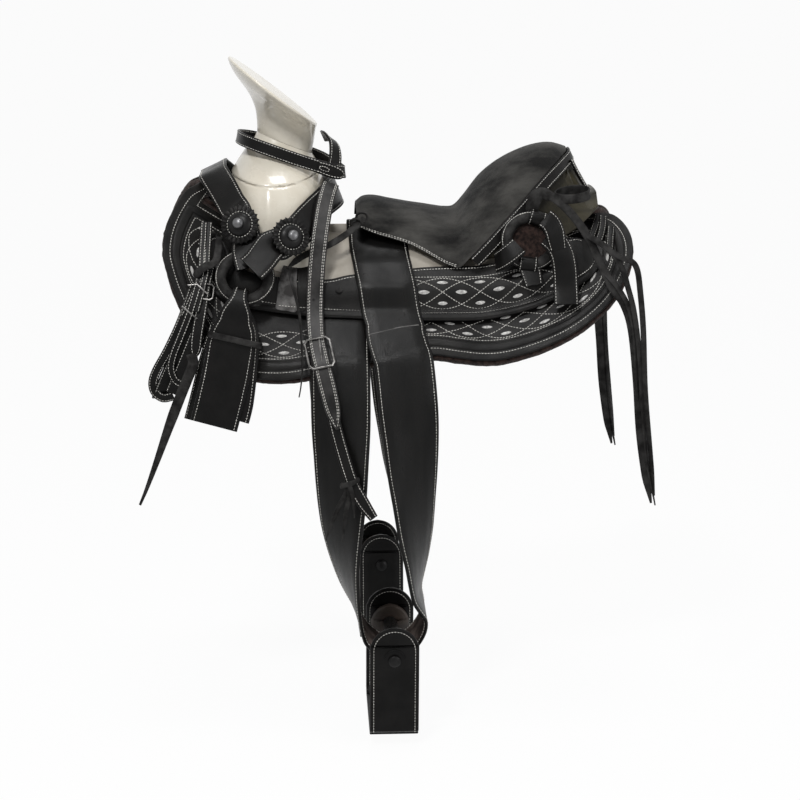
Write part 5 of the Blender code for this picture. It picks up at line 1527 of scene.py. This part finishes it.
def stirrup_u(side, half, top, foot, corner, depth):
    """Stations of a U that is open at the top, with wings rounded there."""
    radius = depth / 2
    wing = []
    for k in range(13):
        drop = radius * (1 - math.cos(math.pi / 2 * k / 12))
        reach = radius - drop
        wide = 2 * math.sqrt(max(radius * radius - reach * reach, 0))
        wing.append((half, top - drop, 90, max(0.005, wide)))
    for k in range(9):
        angle = math.pi / 2 * k / 8
        wing.append((half - corner + corner * math.cos(angle), foot + corner - corner * math.sin(angle),
                     90 - 90 * k / 8, depth))
    stations = []
    for sign, rows in ((1, wing), (-1, wing[::-1])):
        for w, h, turn, wide in rows:
            angle = math.radians(turn)
            up = stirrup_point(side, 0, 0, 1) - stirrup_point(side, 0, 0, 0)
            face = stirrup_out(side) * sign * math.sin(angle) - up * math.cos(angle)
            stations.append((stirrup_point(side, 0, sign * w, h), face, wide))
    return stations


def sew_cover(side, body):
    """An arch of stitches on each face of both wings."""
    reach = 0.0295
    line = [(-reach, h) for h in np.linspace(COVER_FOOT + 0.005, 0.012, 30)]
    for k in range(31):
        angle = math.pi * k / 30
        line.append((-reach * math.cos(angle), 0.015 + reach * math.sin(angle)))
    line += [(-x, h) for x, h in line[29::-1]]
    out = stirrup_out(side)
    for sign in (1, -1):
        for w, face in ((STIRRUP_HALF, 1), (STIRRUP_HALF - COVER_T, -1)):
            spots = [stirrup_point(side, x, sign * w, h) for x, h in line]
            sew(body, spots, [out * sign * face] * len(spots))


HEAD = STIRRUP_HALF + 0.0004
FRAME_HALF = STIRRUP_HALF - COVER_T - 0.0004 - FRAME_T / 2
SLEEVE = FRAME_HALF - FRAME_T / 2 - 0.0005
# Half of the bolt from its middle out, as width and radius
BOLT_HALF = [
    (SLEEVE - 0.001, 0.0105), (SLEEVE, 0.0098), (SLEEVE, 0.0050), (HEAD, 0.0050), (HEAD, 0.0085),
    (HEAD + 0.0030, 0.0085), (HEAD + 0.0046, 0.0066), (HEAD + 0.0052, 0.0030)]
BOLT_ROWS = [(-w, radius) for w, radius in BOLT_HALF[::-1]] + BOLT_HALF
for word, side in SIDES:
    body = "stirrup_" + word
    stations = stirrup_u(side, STIRRUP_HALF - COVER_T / 2, 0.050, COVER_FOOT, 0.016, 0.070)
    ribbon("stirrup_cover_look_" + word, stations, COVER_T, BLACK, body, (), 2,
           nodes=("stirrup_cover_" + word,), edge=0.0012)
    sew_cover(side, body)
    foot = COVER_FOOT + COVER_T / 2 + 0.0004 + FRAME_T / 2
    stations = stirrup_u(side, FRAME_HALF, 0.026, foot, 0.0095, 0.056)
    ribbon("stirrup_wood_look_" + word, stations, FRAME_T, WOOD, body, (), 2,
           nodes=("stirrup_frame_" + word,), edge=0.0030)
    rings = []
    for w, radius in BOLT_ROWS:
        rings.append([stirrup_point(side, radius * math.cos(a), w, radius * math.sin(a)) for a in turns(32)])
    verts, faces = skin_rings(rings)
    tidy_faces(add("stirrup_bolt_look_" + word, verts, faces, JAPAN, body, ("stirrup_bolt_" + word,)), 35)
    hood = []
    for k in range(9):
        angle = math.pi * (0.08 + 0.84 * k / 8)
        spot = stirrup_point(side, 0.0150 * math.cos(angle), STIRRUP_HALF + 0.0004, 0.0165 * math.sin(angle))
        hood.append((spot, stirrup_out(side), 0.0022))
    ribbon("stirrup_emboss_" + word, hood, 0.0016, BLACK, body)
finish_sewing()


# Floor, backdrop and light
FLOOR_Z = -0.70
FLOOR_REACH = 80


def direct_rays(tree):
    """One for the camera's rays and those of reflections."""
    path = new_node(tree, "LightPath")
    either = new_node(tree, "Math")
    either.operation = "MAXIMUM"
    tree.links.new(path.outputs["Is Camera Ray"], either.inputs[0])
    tree.links.new(path.outputs["Is Glossy Ray"], either.inputs[1])
    return either.outputs["Value"]


def mix_shaders(tree, share, plain, seen, out):
    mix = new_node(tree, "MixShader")
    tree.links.new(share, mix.inputs["Fac"])
    tree.links.new(plain, mix.inputs[1])
    tree.links.new(seen, mix.inputs[2])
    tree.links.new(mix.outputs["Shader"], out.inputs["Surface"])


def floor_material():
    """Diffuse, but seen white by the camera and in reflections, with a trace of shadow left."""
    mat = bpy.data.materials.new("pale_floor")
    mat.use_nodes = True
    tree = mat.node_tree
    tree.nodes.clear()
    out = new_node(tree, "OutputMaterial")
    plain = new_node(tree, "BsdfDiffuse", Color=(0.9, 0.9, 0.9, 1))
    glow = new_node(tree, "Emission", Strength=1.0)
    share = new_node(tree, "Math")
    share.operation = "MULTIPLY"
    share.inputs[1].default_value = 0.95
    tree.links.new(direct_rays(tree), share.inputs[0])
    mix_shaders(tree, share.outputs["Value"], plain.outputs["BSDF"], glow.outputs["Emission"], out)
    return mat


def add_floor():
    corners = [(x * FLOOR_REACH, y * FLOOR_REACH, FLOOR_Z) for x, y in ((-1, -1), (1, -1), (1, 1), (-1, 1))]
    floor = mesh_object("floor", corners, [(0, 1, 2, 3)])
    floor.data.materials.append(floor_material())


def add_world():
    """White to the camera and in reflections, and a dim cool fill for everything else."""
    world = bpy.data.worlds.new("studio")
    bpy.context.scene.world = world
    world.use_nodes = True
    tree = world.node_tree
    tree.nodes.clear()
    out = new_node(tree, "OutputWorld")
    seen = new_node(tree, "Background", Color=(1, 1, 1, 1), Strength=1.0)
    fill = new_node(tree, "Background", Color=(0.95, 0.97, 1, 1), Strength=0.32)
    mix_shaders(tree, direct_rays(tree), fill.outputs["Background"], seen.outputs["Background"], out)


def add_lamp(name, spot, size, power):
    data = bpy.data.lights.new(name, "AREA")
    data.size = size
    data.energy = power
    obj = place(name, data)
    obj.location = spot
    obj.rotation_euler = (Vector(spot) - Vector((0, 0, -0.2))).to_track_quat("Z", "Y").to_euler()


add_floor()
add_world()
add_lamp("key", (-0.8, -2.1, 2.3), 0.5, 58)
add_lamp("fill", (2.2, -1.8, 0.8), 1.4, 16)
add_lamp("top", (0.1, -0.3, 2.6), 0.7, 21)
bpy.context.scene.view_settings.view_transform = "Standard"
